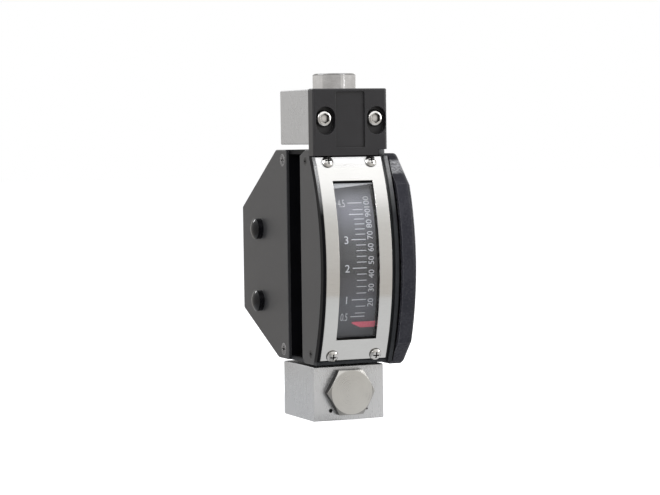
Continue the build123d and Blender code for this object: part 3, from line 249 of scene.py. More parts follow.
def two_tone(tree, share, first, second):
    """The colour between first and second at this share."""
    parts = {0: share, 6: first, 7: second}
    return add_node(tree, "ShaderNodeMix", {"data_type": "RGBA"}, parts).outputs[2]


def finish_group():
    """Node group for one worked surface. Its grain is either drawn out by Stretch or, where Turned
    is 1, runs in rings around Axis through Centre. The grain tints the surface, roughens it and
    stands proud of it. Edges have a colour of their own, and so may the sides of a turned piece.
    Hollows are darkened with painted shade, and so is the line where another piece stands on
    this one, as a painted contact shadow. A few cells hold a dark pit."""
    grain_levels = (0.35, 0.65)
    side_facing = (0.35, 0.15)
    edge_likeness = (0.995, 0.93)
    pit_scale = 420.0
    pit_chance = 0.8
    pit_rim = (0.1, 0.03)
    pit_tone = (0.05, 0.05, 0.05, 1)
    hollow_openness = (0.85, 0.35)
    hollow_shade_tone = (0.004, 0.004, 0.004, 1)
    contact_reach = 0.6 * mm
    contact_openness = (0.95, 0.55)
    contact_shadow_tone = (0.01, 0.01, 0.01, 1)

    group = bpy.data.node_groups.new("worked_surface", "ShaderNodeTree")
    for name, kind, default in (
        ("Colour", "NodeSocketColor", (0.5, 0.5, 0.5, 1)),
        ("Shade", "NodeSocketColor", (0.4, 0.4, 0.4, 1)),
        ("Edge Colour", "NodeSocketColor", (0.6, 0.6, 0.6, 1)),
        ("Side Colour", "NodeSocketColor", (0.2, 0.2, 0.2, 1)),
        ("Side Share", "NodeSocketFloat", 0.0),
        ("Stretch", "NodeSocketVector", (1, 1, 1)),
        ("Turned", "NodeSocketFloat", 0.0),
        ("Centre", "NodeSocketVector", (0, 0, 0)),
        ("Axis", "NodeSocketVector", (0, 0, 1)),
        ("Grain Scale", "NodeSocketFloat", 2000.0),
        ("Cloud Scale", "NodeSocketFloat", 60.0),
        ("Rough Low", "NodeSocketFloat", 0.3),
        ("Rough High", "NodeSocketFloat", 0.4),
        ("Depth", "NodeSocketFloat", 0.01 * mm),
        ("Edge Radius", "NodeSocketFloat", 0.2 * mm),
        ("Edge Share", "NodeSocketFloat", 0.5),
        ("Hollow Reach", "NodeSocketFloat", 1.0 * mm),
        ("Hollow Shade Share", "NodeSocketFloat", 0.0),
        ("Contact Shadow Share", "NodeSocketFloat", 0.0),
        ("Pit Share", "NodeSocketFloat", 0.0),
    ):
        socket = group.interface.new_socket(name=name, in_out="INPUT", socket_type=kind)
        socket.default_value = default
    for name, kind in (
        ("Colour", "NodeSocketColor"),
        ("Roughness", "NodeSocketFloat"),
        ("Normal", "NodeSocketVector"),
    ):
        group.interface.new_socket(name=name, in_out="OUTPUT", socket_type=kind)
    given = add_node(group, "NodeGroupInput").outputs

    def noise(place, scale, detail):
        values = {"Vector": place, "Scale": scale, "Detail": detail}
        return add_node(group, "ShaderNodeTexNoise", values=values).outputs["Fac"]

    def openness(reach, only_local):
        settings = {"samples": 6, "only_local": only_local}
        values = {"Distance": reach, "Normal": surface["Normal"]}
        return add_node(group, "ShaderNodeAmbientOcclusion", settings, values).outputs["AO"]

    place = add_node(group, "ShaderNodeTexCoord").outputs["Object"]
    surface = add_node(group, "ShaderNodeNewGeometry").outputs

    offset = vectors(group, "SUBTRACT", place, given["Centre"])
    along = vectors(group, "DOT_PRODUCT", offset, given["Axis"], out="Value")
    across = vectors(group, "CROSS_PRODUCT", offset, given["Axis"])
    radius = vectors(group, "LENGTH", across, out="Value")
    outwards = maths(group, "ADD", radius, along)
    ring = add_node(group, "ShaderNodeCombineXYZ", values={0: outwards}).outputs[0]
    drawn = vectors(group, "MULTIPLY", place, given["Stretch"])
    grain_place = add_node(
        group, "ShaderNodeMix", {"data_type": "VECTOR"}, {0: given["Turned"], 4: drawn, 5: ring}
    ).outputs[1]
    grain = noise(grain_place, given["Grain Scale"], 3.0)
    clouds = noise(place, given["Cloud Scale"], 4.0)
    mixed = maths(
        group, "ADD", maths(group, "MULTIPLY", grain, 0.5), maths(group, "MULTIPLY", clouds, 0.5)
    )
    body = two_tone(group, spread(group, mixed, *grain_levels), given["Shade"], given["Colour"])

    axial = vectors(group, "DOT_PRODUCT", surface["True Normal"], given["Axis"], out="Value")
    side = spread(group, maths(group, "ABSOLUTE", axial), *side_facing)
    side_share = maths(group, "MULTIPLY", side, given["Side Share"])
    sided = two_tone(group, side_share, body, given["Side Colour"])

    rounded = add_node(
        group, "ShaderNodeBevel", {"samples": 4}, {"Radius": given["Edge Radius"]}
    ).outputs[0]
    likeness = vectors(group, "DOT_PRODUCT", rounded, surface["Normal"], out="Value")
    edge = maths(group, "MULTIPLY", spread(group, likeness, *edge_likeness), given["Edge Share"])
    worn = two_tone(group, edge, sided, given["Edge Colour"])

    cells = add_node(
        group, "ShaderNodeTexVoronoi", values={"Vector": place, "Scale": pit_scale}
    ).outputs
    lot = vectors(group, "DOT_PRODUCT", cells["Color"], (1, 0, 0), out="Value")
    chosen = maths(group, "GREATER_THAN", lot, pit_chance)
    pit = maths(group, "MULTIPLY", spread(group, cells["Distance"], *pit_rim), chosen)
    pitted = two_tone(group, maths(group, "MULTIPLY", pit, given["Pit Share"]), worn, pit_tone)

    # Painted shade: hollows and the line where another piece touches are darkened in colour.
    hollow = spread(group, openness(given["Hollow Reach"], True), *hollow_openness)
    hollow_shade_share = maths(group, "MULTIPLY", hollow, given["Hollow Shade Share"])
    hollow_shaded = two_tone(group, hollow_shade_share, pitted, hollow_shade_tone)
    contact = spread(group, openness(contact_reach, False), *contact_openness)
    contact_shadow_share = maths(group, "MULTIPLY", contact, given["Contact Shadow Share"])
    contact_shaded = two_tone(group, contact_shadow_share, hollow_shaded, contact_shadow_tone)

    roughness = spread(group, mixed, *grain_levels, given["Rough Low"], given["Rough High"])
    relief = add_node(
        group,
        "ShaderNodeBump",
        values={"Height": grain, "Distance": given["Depth"], "Normal": rounded},
    ).outputs[0]
    results = {"Colour": contact_shaded, "Roughness": roughness, "Normal": relief}
    add_node(group, "NodeGroupOutput", values=results)
    return group


worked_surface = finish_group()


def surface_material(name, values, metallic=0.0, shader_values=()):
    """Material that puts the worked surface group, with these values, on one Principled shader."""
    material, tree, output = open_material(name)
    finish = add_node(
        tree, "ShaderNodeGroup", {"node_tree": worked_surface, "name": "worked_surface"}, values
    )
    shader = add_node(
        tree,
        "ShaderNodeBsdfPrincipled",
        values={
            "Base Color": finish.outputs["Colour"],
            "Roughness": finish.outputs["Roughness"],
            "Normal": finish.outputs["Normal"],
            "Metallic": metallic,
            **dict(shader_values),
        },
    )
    tree.links.new(shader.outputs[0], output.inputs["Surface"])
    return material


def feed(material, socket, value):
    """Links a value that changes over the surface to one input of the worked surface group."""
    tree = material.node_tree
    tree.links.new(value, tree.nodes["worked_surface"].inputs[socket])


def dress(material, *nodes):
    """Puts the material in every slot of these CAD nodes."""
    for name in nodes:
        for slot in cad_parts[name].material_slots:
            slot.material = material


def place_share(tree, axis, low, high, to_low=0.0, to_high=1.0):
    """A value that runs from to_low to to_high between two places along one axis of the piece."""
    place = add_node(tree, "ShaderNodeTexCoord").outputs["Object"]
    along = add_node(tree, "ShaderNodeSeparateXYZ", values={0: place}).outputs[axis]
    return spread(tree, along, low, high, to_low, to_high)


def band_share(tree, axis, start, full, fading, end):
    """A value that rises from 0 at start to 1 at full, and falls from 1 at fading to 0 at end."""
    rising = place_share(tree, axis, start, full)
    return maths(tree, "MULTIPLY", rising, place_share(tree, axis, end, fading))


def facing(tree, axis):
    """How far the surface faces along one axis, from -1 to 1: a part of its true normal."""
    normal = add_node(tree, "ShaderNodeNewGeometry").outputs["True Normal"]
    return add_node(tree, "ShaderNodeSeparateXYZ", values={0: normal}).outputs[axis]


block_steel = surface_material(
    "block_steel",
    {
        # Painted shade: dark edges, and hollows darkened within 3 mm.
        "Edge Colour": (0.22, 0.22, 0.23, 1),
        "Stretch": (1, 1, 0.06),
        "Hollow Reach": 3.0 * mm,
        "Hollow Shade Share": 0.9,
        "Pit Share": 0.6,
        "Grain Scale": 3500.0,
        "Cloud Scale": 45.0,
        "Rough Low": 0.24,
        "Rough High": 0.34,
        "Depth": 0.0012 * mm,
        "Edge Radius": 0.2 * mm,
        "Edge Share": 0.6,
    },
    metallic=0.8,
)
tree = block_steel.node_tree
# Painted shade in the narrow gap under the case.
gap_shade_share = band_share(tree, "Z", *gap_shade_heights)
sideways = maths(tree, "ABSOLUTE", facing(tree, "X"))
# Painted light: the front and back faces are lighter than the sides.
for socket, front_lit_tone, side_shaded_tone in block_lit_tones:
    bar_lit_tone = two_tone(tree, sideways, front_lit_tone, side_shaded_tone)
    feed(block_steel, socket, two_tone(tree, gap_shade_share, bar_lit_tone, gap_shade))
dress(block_steel, "inlet_block", "outlet_block")

# Port threads: the pipe thread that is cut into both ports at the rear of the blocks, from the
# mouth inwards. Each is one helical ridge of the block's own steel on the wall of its bore.
port_heights = (("inlet_port_thread", 14.0), ("outlet_port_thread", 149.4))
port_mouth = 18.3
thread_root = 5.95
thread_crest = 5.25
thread_pitch = 1.41
thread_half = 0.62
thread_turns = 8
thread_steps = 48
least_crest = 0.02


def mesh_piece(name, points, faces, material, body):
    """A piece from an array of points in metres and an array of faces, riding on one body."""
    mesh = bpy.data.meshes.new(name)
    mesh.from_pydata(np.reshape(points, (-1, 3)).tolist(), [], faces)
    mesh.materials.append(material)
    mesh.update()
    piece = bpy.data.objects.new(name, mesh)
    bpy.context.scene.collection.objects.link(piece)
    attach(piece, body)
    return piece


def thread_ridge(centre_z):
    """Corners of a triangular section carried along a helix around the port's axis. At turn t, the
    angle is 2 pi t and a corner at radius r and offset o lies at x = r cos(angle), y = mouth -
    pitch t + o, z = centre + r sin(angle). The crest sinks into the root over the first and last
    half turn."""
    turn_now = np.linspace(0, thread_turns, thread_turns * thread_steps + 1)[:, None]
    angle = 2 * math.pi * turn_now
    ease = np.clip(2 * np.minimum(turn_now, thread_turns - turn_now), least_crest, 1)
    crest = thread_root - (thread_root - thread_crest) * ease
    root = np.full_like(crest, thread_root)
    radius = np.hstack((crest, root, root))
    offset = np.array([[0.0, thread_half, -thread_half]])
    y = port_mouth - thread_pitch * turn_now + offset
    return np.stack((radius * np.cos(angle), y, centre_z + radius * np.sin(angle)), axis=-1) * mm


last_ring = 3 * thread_turns * thread_steps
first_of_ring = np.arange(0, last_ring, 3)[:, None]
side = np.arange(3)
next_side = (side + 1) % 3
ring_corners = (
    first_of_ring + side,
    first_of_ring + side + 3,
    first_of_ring + next_side + 3,
    first_of_ring + next_side,
)
thread_faces = np.stack(ring_corners, axis=-1).reshape(-1, 4).tolist()
thread_faces += [[0, 1, 2], [last_ring + 2, last_ring + 1, last_ring]]
for name, centre_z in port_heights:
    port_thread = mesh_piece(name, thread_ridge(centre_z), thread_faces, block_steel, "meter")

# Inside: tube, seat, stop and float are turned stainless steel, the float's magnet is a dark
# sintered cylinder, and the seals under the plugs and round the tube's ends are black rubber rings.
tube_steel = surface_material(
    "tube_steel",
    {
        "Colour": (0.58, 0.58, 0.59, 1),
        "Shade": (0.48, 0.48, 0.49, 1),
        "Edge Colour": (0.7, 0.7, 0.7, 1),
        "Stretch": (0.1, 0.1, 1),
        "Grain Scale": 5000.0,
        "Rough Low": 0.22,
        "Rough High": 0.34,
        "Depth": 0.004 * mm,
    },
    metallic=1.0,
)
dress(tube_steel, "metering_tube", "float_body", "float_cap", "float_seat", "float_stop")
magnet_grey = surface_material(
    "magnet_grey",
    {
        "Colour": (0.12, 0.12, 0.125, 1),
        "Shade": (0.08, 0.08, 0.085, 1),
        "Edge Colour": (0.25, 0.25, 0.25, 1),
        "Grain Scale": 6000.0,
        "Rough Low": 0.4,
        "Rough High": 0.55,
    },
    metallic=0.8,
)
dress(magnet_grey, "float_magnet")
seal_rubber = surface_material(
    "seal_rubber",
    {
        "Colour": (0.018, 0.018, 0.019, 1),
        "Shade": (0.012, 0.012, 0.012, 1),
        "Edge Colour": (0.03, 0.03, 0.03, 1),
        "Grain Scale": 4000.0,
        "Rough Low": 0.5,
        "Rough High": 0.65,
    },
)
dress(seal_rubber, "plug_seals", "tube_seals")

# Plugs: turned from hexagon bar and screwed into the blocks. The front one's end face is turned and
# warm in tone; painted shade makes its crown darker and its flats near black. The top one is bright
# all round but for the rim of its crown, which painted shade darkens.
front_crown_shade_tone = (0.26, 0.255, 0.245, 1)
front_face_tone = (0.64, 0.625, 0.585, 1)
front_face_facing = (-0.92, -0.985)
top_plug_tone = (0.82, 0.82, 0.83, 1)
top_rim_shade_tone = (0.22, 0.22, 0.22, 1)
top_rim_shade_heights = (170.4 * mm, 170.9 * mm)

front_plug_steel = surface_material(
    "front_plug_steel",
    {
        "Shade": (0.56, 0.545, 0.515, 1),
        "Edge Colour": (0.50, 0.49, 0.47, 1),
        # Painted shade: the flats are painted near black.
        "Side Colour": (0.012, 0.012, 0.012, 1),
        "Side Share": 0.97,
        "Turned": 1.0,
        "Centre": (0, 0, 14 * mm),
        "Axis": (0, 1, 0),
        "Grain Scale": 3200.0,
        "Cloud Scale": 110.0,
        "Rough Low": 0.24,
        "Rough High": 0.36,
        "Depth": 0.005 * mm,
        "Edge Radius": 0.3 * mm,
        "Edge Share": 0.6,
    },
    metallic=1.0,
)
tree = front_plug_steel.node_tree
# Painted shade: the crown is darker than the end face.
face_share = spread(tree, facing(tree, "Y"), *front_face_facing)
feed(front_plug_steel, "Colour", two_tone(tree, face_share, front_crown_shade_tone, front_face_tone))
dress(front_plug_steel, "inlet_plug")
top_plug_steel = surface_material(
    "top_plug_steel",
    {
        "Shade": (0.60, 0.60, 0.605, 1),
        "Edge Colour": (0.50, 0.50, 0.50, 1),
        "Turned": 1.0,
        "Centre": (2.6 * mm, 0, 160 * mm),
        "Grain Scale": 2600.0,
        "Cloud Scale": 150.0,
        "Rough Low": 0.12,
        "Rough High": 0.20,
        "Depth": 0.002 * mm,
        "Edge Radius": 0.3 * mm,
        "Edge Share": 0.4,
    },
    metallic=1.0,
)
tree = top_plug_steel.node_tree
# Painted shade on the rim of the crown.
top_rim_shade_share = place_share(tree, "Z", *top_rim_shade_heights)
feed(top_plug_steel, "Colour", two_tone(tree, top_rim_shade_share, top_plug_tone, top_rim_shade_tone))
dress(top_plug_steel, "outlet_plug")

# Case: a die casting, painted black with a faint orange peel, and greyer at its back. Its rim on
# the right and its lower lip are greyer with a painted sheen, both rims beside the bezel carry a
# painted speckled highlight towards the top, and painted shade darkens its slot and hollows. The
# tube's clamps are plain machined blocks in its slot.
case_paint = (0.004, 0.004, 0.005, 1)
case_grey_and_sheen = (0.042, 0.044, 0.047, 1)
case_shade_share = 0.3
right_painted_highlight = (0.42, 0.42, 0.42, 1)
left_painted_highlight = (0.80, 0.80, 0.80, 1)
right_rim = (18.0 * mm, 18.6 * mm)
left_rim = (-17.60 * mm, -17.75 * mm)
left_rim_facing = (-0.6, -0.4)
lower_lip = (30.2 * mm, 29.4 * mm)
case_back = (16.0 * mm, 20.0 * mm)
highlight_heights = (102.0 * mm, 124.0 * mm)
front_depths = (-12.0 * mm, -16.0 * mm)
speckle_scale = 700.0
speckle_levels = (0.40, 0.60)


def flakes(tree, node, scale, roughness, levels):
    """Scattered flakes, 0 to 1: noise laid over a CAD node's own box, with scale cells along each
    of its sides, cut between two of its levels."""
    corners = np.array(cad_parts[node].bound_box)
    place = add_node(tree, "ShaderNodeTexCoord").outputs["Object"]
    raised = vectors(tree, "SUBTRACT", place, corners.min(axis=0))
    laid = vectors(tree, "DIVIDE", raised, np.ptp(corners, axis=0))
    values = {"Vector": laid, "Scale": scale, "Detail": 4.0, "Roughness": roughness}
    noise = add_node(tree, "ShaderNodeTexNoise", values=values)
    return spread(tree, noise.outputs["Fac"], *levels)


case_black = surface_material(
    "case_black",
    {
        "Edge Colour": (0.006, 0.006, 0.007, 1),
        "Edge Share": 0.3,
        "Grain Scale": 1500.0,
        "Cloud Scale": 120.0,
        "Rough Low": 0.34,
        "Rough High": 0.45,
        "Depth": 0.025 * mm,
        "Edge Radius": 0.35 * mm,
        # Painted shade: the slot and hollows are darkened within 8 mm.
        "Hollow Reach": 8.0 * mm,
        "Hollow Shade Share": 1.0,
    },
    shader_values={"Specular IOR Level": 0.05},
)
tree = case_black.node_tree
# Painted sheen on the lower lip and the right rim; the back is plain grey.
lip_sheen_share = place_share(tree, "Z", *lower_lip)
lip_or_back = maths(tree, "MAXIMUM", lip_sheen_share, place_share(tree, "Y", *case_back))
grey_and_sheen_share = maths(tree, "MAXIMUM", place_share(tree, "X", *right_rim), lip_or_back)
# Painted speckled highlight on the front of both rims, towards the top.
highlight_height = place_share(tree, "Z", *highlight_heights)
highlight_front = maths(tree, "MULTIPLY", highlight_height, place_share(tree, "Y", *front_depths))
speckle = flakes(tree, "main_case", speckle_scale, 0.8, speckle_levels)
highlight_share = maths(tree, "MULTIPLY", speckle, highlight_front)
rim_sheen_tone = two_tone(tree, highlight_share, case_grey_and_sheen, right_painted_highlight)
painted = two_tone(tree, grey_and_sheen_share, case_paint, rim_sheen_tone)
forward = spread(tree, facing(tree, "X"), *left_rim_facing)
left_front = maths(tree, "MULTIPLY", place_share(tree, "X", *left_rim), forward)
left_highlight_share = maths(tree, "MULTIPLY", left_front, highlight_share)
case_tone = two_tone(tree, left_highlight_share, painted, left_painted_highlight)
feed(case_black, "Colour", case_tone)
feed(case_black, "Shade", two_tone(tree, case_shade_share, case_tone, (0, 0, 0, 1)))
dress(case_black, "main_case", "tube_clamps")

# Lever and bearings: a bent steel strip that carries a follower magnet beside the tube and the
# pointer in front of the dial, with bronze bushes, a ground shaft with spring clips and a brass
# balance weight. The pointer is a blade painted in signal red.
lever_sheet = surface_material(
    "lever_sheet",
    {
        "Colour": (0.50, 0.50, 0.51, 1),
        "Shade": (0.42, 0.42, 0.43, 1),
        "Edge Colour": (0.6, 0.6, 0.6, 1),
        "Rough Low": 0.3,
        "Rough High": 0.42,
    },
    metallic=1.0,
)
dress(lever_sheet, "pointer_lever", "bearing_bracket", "pivot_shaft", "shaft_clips")
bronze = surface_material(
    "bronze",
    {
        "Colour": (0.55, 0.38, 0.20, 1),
        "Shade": (0.46, 0.31, 0.16, 1),
        "Edge Colour": (0.66, 0.5, 0.3, 1),
        "Rough Low": 0.28,
        "Rough High": 0.42,
    },
    metallic=1.0,
)
dress(bronze, "pivot_bushes", "lever_hub", "balance_weight")
pointer_paint = surface_material(
    "pointer_paint",
    {
        "Colour": (0.72, 0.100, 0.160, 1),
        "Shade": (0.66, 0.085, 0.140, 1),
        "Edge Colour": (0.75, 0.15, 0.16, 1),
        "Grain Scale": 1800.0,
        "Rough Low": 0.35,
        "Rough High": 0.5,
        "Edge Radius": 0.12 * mm,
    },
)
dress(pointer_paint, "pointer")
dress(magnet_grey, "lever_magnet")

# Dial: a strip of sheet, bent around the lever's pivot so that the pointer keeps its distance. Its
# ground is a smooth dark grey, with painted light that makes it lighter towards the top and a
# little towards the bottom, and painted shade that darkens its middle.
dial_foot = 40.0 * mm
dial_head = 120.0 * mm
dial_shade_share = 0.12
dial_light_steps = (
    (0.00, (0.071, 0.073, 0.084)),
    (0.20, (0.080, 0.083, 0.100)),
    (0.36, (0.054, 0.055, 0.066)),
    (0.42, (0.026, 0.026, 0.030)),
    (0.54, (0.026, 0.026, 0.030)),
    (0.60, (0.042, 0.042, 0.048)),
    (0.66, (0.078, 0.079, 0.092)),
    (0.73, (0.128, 0.130, 0.152)),
    (0.79, (0.172, 0.174, 0.204)),
    (0.92, (0.215, 0.218, 0.248)),
)

dial_ground = surface_material(
    "dial_ground",
    {
        "Edge Colour": (0.12, 0.12, 0.13, 1),
        "Grain Scale": 2500.0,
        "Cloud Scale": 25.0,
        "Rough Low": 0.45,
        "Rough High": 0.55,
        "Depth": 0.004 * mm,
    },
)
tree = dial_ground.node_tree
# Painted light and shade: the ground's tone changes with height.
dial_height = place_share(tree, "Z", dial_foot, dial_head)
dial_lit_tone = colour_steps(tree, dial_height, dial_light_steps, 1.0, 1.0)
feed(dial_ground, "Colour", dial_lit_tone)
feed(dial_ground, "Shade", two_tone(tree, dial_shade_share, dial_lit_tone, (0, 0, 0, 1)))
dress(dial_ground, "dial_plate")

# The dial's print: white ticks, flow numbers on their left and a column of small plain numbers on
# their right, all laid on the curve in enamel. Flow follows the square law of the tube's taper.
pivot_y = 58.0
pivot_z = 77.0
dial_radius = 87.7
print_lift = 0.02
print_height = 0.03
print_thin = (0.42, 0.43, 0.46, 1)
print_full = (0.70, 0.71, 0.74, 1)
zero_height = 43.1
flow_rise = 17.95
flow_loss = 0.816
end_flows = (0.5, 4.5)
first_fine_flow = 0.6
last_fine_flow = 4.2
fine_flow_count = 19
flow_each_long = 1.0
tick_right = 5.6
tick_long_left = -1.9
tick_short_left = 0.4
tick_width = 0.32
tick_width_long = 0.42


def scale_height(flow):
    """Height of a flow on the dial in mm: the height of no flow, plus flow_rise times the flow,
    less flow_loss times its square."""
    return zero_height + flow_rise * flow - flow_loss * flow**2


def on_dial(across, height, lift):
    """Points in metres on the dial's arc, from mm: across is X, height is Z, and Y lies lift in
    front of the arc, at the pivot's Y less the root of the radius squared less the square of the
    height above the pivot."""
    radius = dial_radius + lift
    y = pivot_y - np.sqrt(radius**2 - (height - pivot_z) ** 2)
    return np.stack(np.broadcast_arrays(across, y, height), axis=-1) * mm


print_white, tree, output = open_material("print_white")
place = add_node(tree, "ShaderNodeTexCoord").outputs["Object"]
print_wear = add_node(
    tree, "ShaderNodeTexNoise", values={"Vector": place, "Scale": 6000.0, "Detail": 3.0}
).outputs["Fac"]
print_shader = add_node(
    tree,
    "ShaderNodeBsdfPrincipled",
    values={"Base Color": two_tone(tree, print_wear, print_thin, print_full), "Roughness": 0.5},
)
tree.links.new(print_shader.outputs[0], output.inputs["Surface"])


def tick_bars(left, height, half):
    """Corners of one bar for each tick, as an array of ticks by 8 corners. The first four go round
    the bar at x left or right and z height less or plus half, on the dial, and the last four lie
    over them at the top of the print."""
    right = np.full_like(left, tick_right)
    x = np.stack((left, right, right, left), axis=1)
    z = np.stack((height - half, height - half, height + half, height + half), axis=1)
    lower, upper = (on_dial(x, z, lift) for lift in (print_lift, print_lift + print_height))
    return np.concatenate((lower, upper), axis=1)


fine_flows = np.linspace(first_fine_flow, last_fine_flow, fine_flow_count).round(1)
tick_flows = np.concatenate((end_flows, fine_flows))
is_long = np.isin(tick_flows, end_flows) | (tick_flows % flow_each_long == 0)
bar_corners = tick_bars(
    np.where(is_long, tick_long_left, tick_short_left),
    scale_height(tick_flows),
    np.where(is_long, tick_width_long, tick_width) / 2,
)
bar_faces = np.array(
    ((3, 2, 1, 0), (4, 5, 6, 7), (0, 1, 5, 4), (1, 2, 6, 5), (2, 3, 7, 6), (3, 0, 4, 7))
)
first_corners = 8 * np.arange(len(tick_flows))[:, None, None]
tick_faces = (first_corners + bar_faces).reshape(-1, 4).tolist()
dial_ticks = mesh_piece("dial_ticks", bar_corners, tick_faces, print_white, "meter")

numeral_height = 3.9
numeral_squeeze = 1.05
numeral_squeeze_long = 0.60
numeral_right = -3.3
column_height = 3.1
column_middle = 8.0
percent_flow = 0.045
type_size = 1.37
flat_thickness = 0.1


def dial_number(name, text, middle_x, middle_z, size, upright, squeeze):
    """Digits of the given height from Blender's own typeface, as a thin raised mesh bent onto the
    dial's arc. Upright digits end at middle_x; turned ones are centred on it and read upwards."""
    curve = bpy.data.curves.new(name, "FONT")
    curve.body = text
    curve.size = size * type_size
    curve.align_x = "RIGHT" if upright else "CENTER"
    curve.extrude = flat_thickness
    flat = bpy.data.objects.new(name, curve)
    bpy.context.scene.collection.objects.link(flat)
    bpy.context.view_layer.update()
    mesh = bpy.data.meshes.new_from_object(flat)
    bpy.data.objects.remove(flat)
    flat_points = np.zeros(len(mesh.vertices) * 3)
    mesh.vertices.foreach_get("co", flat_points)
    flat_points = flat_points.reshape(-1, 3)
    along = flat_points[:, 0] * squeeze
    over = flat_points[:, 1] - size / 2
    lift = np.where(flat_points[:, 2] > 0, print_lift + print_height, print_lift)
    if upright:
        bent = on_dial(middle_x + along, middle_z + over, lift)
    else:
        bent = on_dial(middle_x - over, middle_z + along, lift)
    mesh.vertices.foreach_set("co", bent.ravel())
    mesh.materials.clear()
    mesh.materials.append(print_white)
    mesh.name = name
    mesh.update()
    piece = bpy.data.objects.new(name, mesh)
    bpy.context.scene.collection.objects.link(piece)
    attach(piece, "meter")


for flow, text in ((0.5, "0.5"), (1, "1"), (2, "2"), (3, "3"), (4.5, "4.5")):
    number_name = "flow_number_" + text.replace(".", "_")
    squeeze = numeral_squeeze_long if len(text) > 1 else numeral_squeeze
    dial_number(number_name, text, numeral_right, scale_height(flow), numeral_height, True, squeeze)
for percent in range(20, 101, 10):
    text = str(percent)
    height = scale_height(percent * percent_flow)
    dial_number("fine_number_" + text, text, column_middle, height, column_height, False, 1.0)

# Window pane: clear polycarbonate, bent to the curve and held in a rubber gasket. A black line of
# painted shade runs along its top and bottom, and a pale strip of painted glare below the upper one
# narrows to the right. Light for the dial passes straight through.
upper_shade_line = (117.1 * mm, 117.2 * mm)
lower_shade_line = (41.9 * mm, 41.8 * mm)
glare_strip_across = (-0.103, 0, 1)
glare_strip_heights = (115.5 * mm, 115.9 * mm)
glare_strip_most = 0.52
haze_scale = 90.0
haze_roughness = 0.04

pane_clear, tree, output = open_material("pane_clear")
path = add_node(tree, "ShaderNodeLightPath").outputs
place = add_node(tree, "ShaderNodeTexCoord").outputs["Object"]
pane_rough = maths(
    tree,
    "MULTIPLY",
    flakes(tree, "window_glass", haze_scale, 0.5, (0.0, 1.0)),
    haze_roughness,
)
pane = add_node(
    tree,
    "ShaderNodeBsdfPrincipled",
    values={
        "Base Color": (0.96, 0.97, 0.98, 1),
        "Roughness": pane_rough,
        "Transmission Weight": 1.0,
        "IOR": 1.5,
    },
).outputs[0]
unseen = add_node(
    tree, "ShaderNodeBsdfTransparent", values={"Color": (0.97, 0.97, 0.97, 1)}
).outputs[0]
passing = mix_shaders(tree, path["Is Shadow Ray"], pane, unseen)
# Painted glare: a pale diffuse strip below the upper black line.
strip = add_node(
    tree,
    "ShaderNodeBsdfPrincipled",
    values={"Base Color": (0.62, 0.63, 0.65, 1), "Roughness": 0.25},
).outputs[0]
# Painted shade: black lines along the top and bottom of the pane.
shade_line = add_node(
    tree,
    "ShaderNodeBsdfPrincipled",
    values={"Base Color": (0.002, 0.002, 0.002, 1), "Roughness": 0.5, "Specular IOR Level": 0.1},
).outputs[0]
slant = vectors(tree, "DOT_PRODUCT", place, glare_strip_across, out="Value")
glare_strip_share = spread(tree, slant, *glare_strip_heights, 0.0, glare_strip_most)
with_glare_strip = mix_shaders(tree, glare_strip_share, passing, strip)
shade_line_share = maths(
    tree,
    "MAXIMUM",
    place_share(tree, "Z", *upper_shade_line),
    place_share(tree, "Z", *lower_shade_line),
)
shade_lined = mix_shaders(tree, shade_line_share, with_glare_strip, shade_line)
tree.links.new(shade_lined, output.inputs["Surface"])
dress(pane_clear, "window_glass")
dress(seal_rubber, "window_gasket")

# Bezel: a frame stamped from satin stainless sheet and rolled to the curve of the case, its grain
# running across the meter. It is rubbed dull along its top, where painted light makes it whitish
# and less metallic and a faint glow is a painted glare of the lamps; painted shade darkens it
# around its screws.
bezel_tone = (0.72, 0.715, 0.70, 1)
lit_top_tone = (0.95, 0.95, 0.95, 1)
smooth_and_rubbed = (("Rough Low", 0.09, 0.42), ("Rough High", 0.15, 0.50))
dull_heights = (124.0 * mm, 128.5 * mm)
lit_top_heights = (124.5 * mm, 128.5 * mm)
lit_top_metallic = 0.15
glare_heights = (126.2 * mm, 128.8 * mm)
glare_strength = 0.62

bezel_satin = surface_material(
    "bezel_satin",
    {
        "Shade": (0.66, 0.655, 0.64, 1),
        "Edge Colour": (0.82, 0.82, 0.81, 1),
        "Stretch": (0.05, 1, 1),
        "Grain Scale": 5000.0,
        "Cloud Scale": 40.0,
        "Depth": 0.001 * mm,
        "Edge Radius": 0.25 * mm,
        "Edge Share": 0.5,
        # Painted shade around the screws.
        "Contact Shadow Share": 0.9,
    },
    metallic=1.0,
)
tree = bezel_satin.node_tree
for socket, smooth, rubbed in smooth_and_rubbed:
    feed(bezel_satin, socket, place_share(tree, "Z", *dull_heights, smooth, rubbed))
# Painted light: the top is whitish and less metallic.
lit_top_share = place_share(tree, "Z", *lit_top_heights)
feed(bezel_satin, "Colour", two_tone(tree, lit_top_share, bezel_tone, lit_top_tone))
bezel_shader = next(node for node in tree.nodes if node.type == "BSDF_PRINCIPLED").inputs
top_metallic = place_share(tree, "Z", *lit_top_heights, 1.0, lit_top_metallic)
tree.links.new(top_metallic, bezel_shader["Metallic"])
# Painted glare: a faint glow along the top.
tree.links.new(place_share(tree, "Z", *glare_heights), bezel_shader["Emission Color"])
bezel_shader["Emission Strength"].default_value = glare_strength
dress(bezel_satin, "bezel")

# Side cover: a deep casting over the lever, screwed on over a dull black gasket. Its blue-black
# paint is coarser than the case's. A painted highlight lightens its edges, painted shade darkens
# the slope at its top, and a speckled painted glint breaks up that slope.
cover_tone_low = (0.036, 0.036, 0.043, 1)
cover_slope_shade = (0.012, 0.012, 0.015, 1)
cover_glint = (0.42, 0.42, 0.43, 1)
slope_heights = (115.5 * mm, 119.0 * mm)
glint_heights = (121.0 * mm, 122.5 * mm, 127.4 * mm, 128.6 * mm)
glint_inside = (30.45 * mm, 30.2 * mm)
flake_scale = 420.0
flake_levels = (0.36, 0.50)

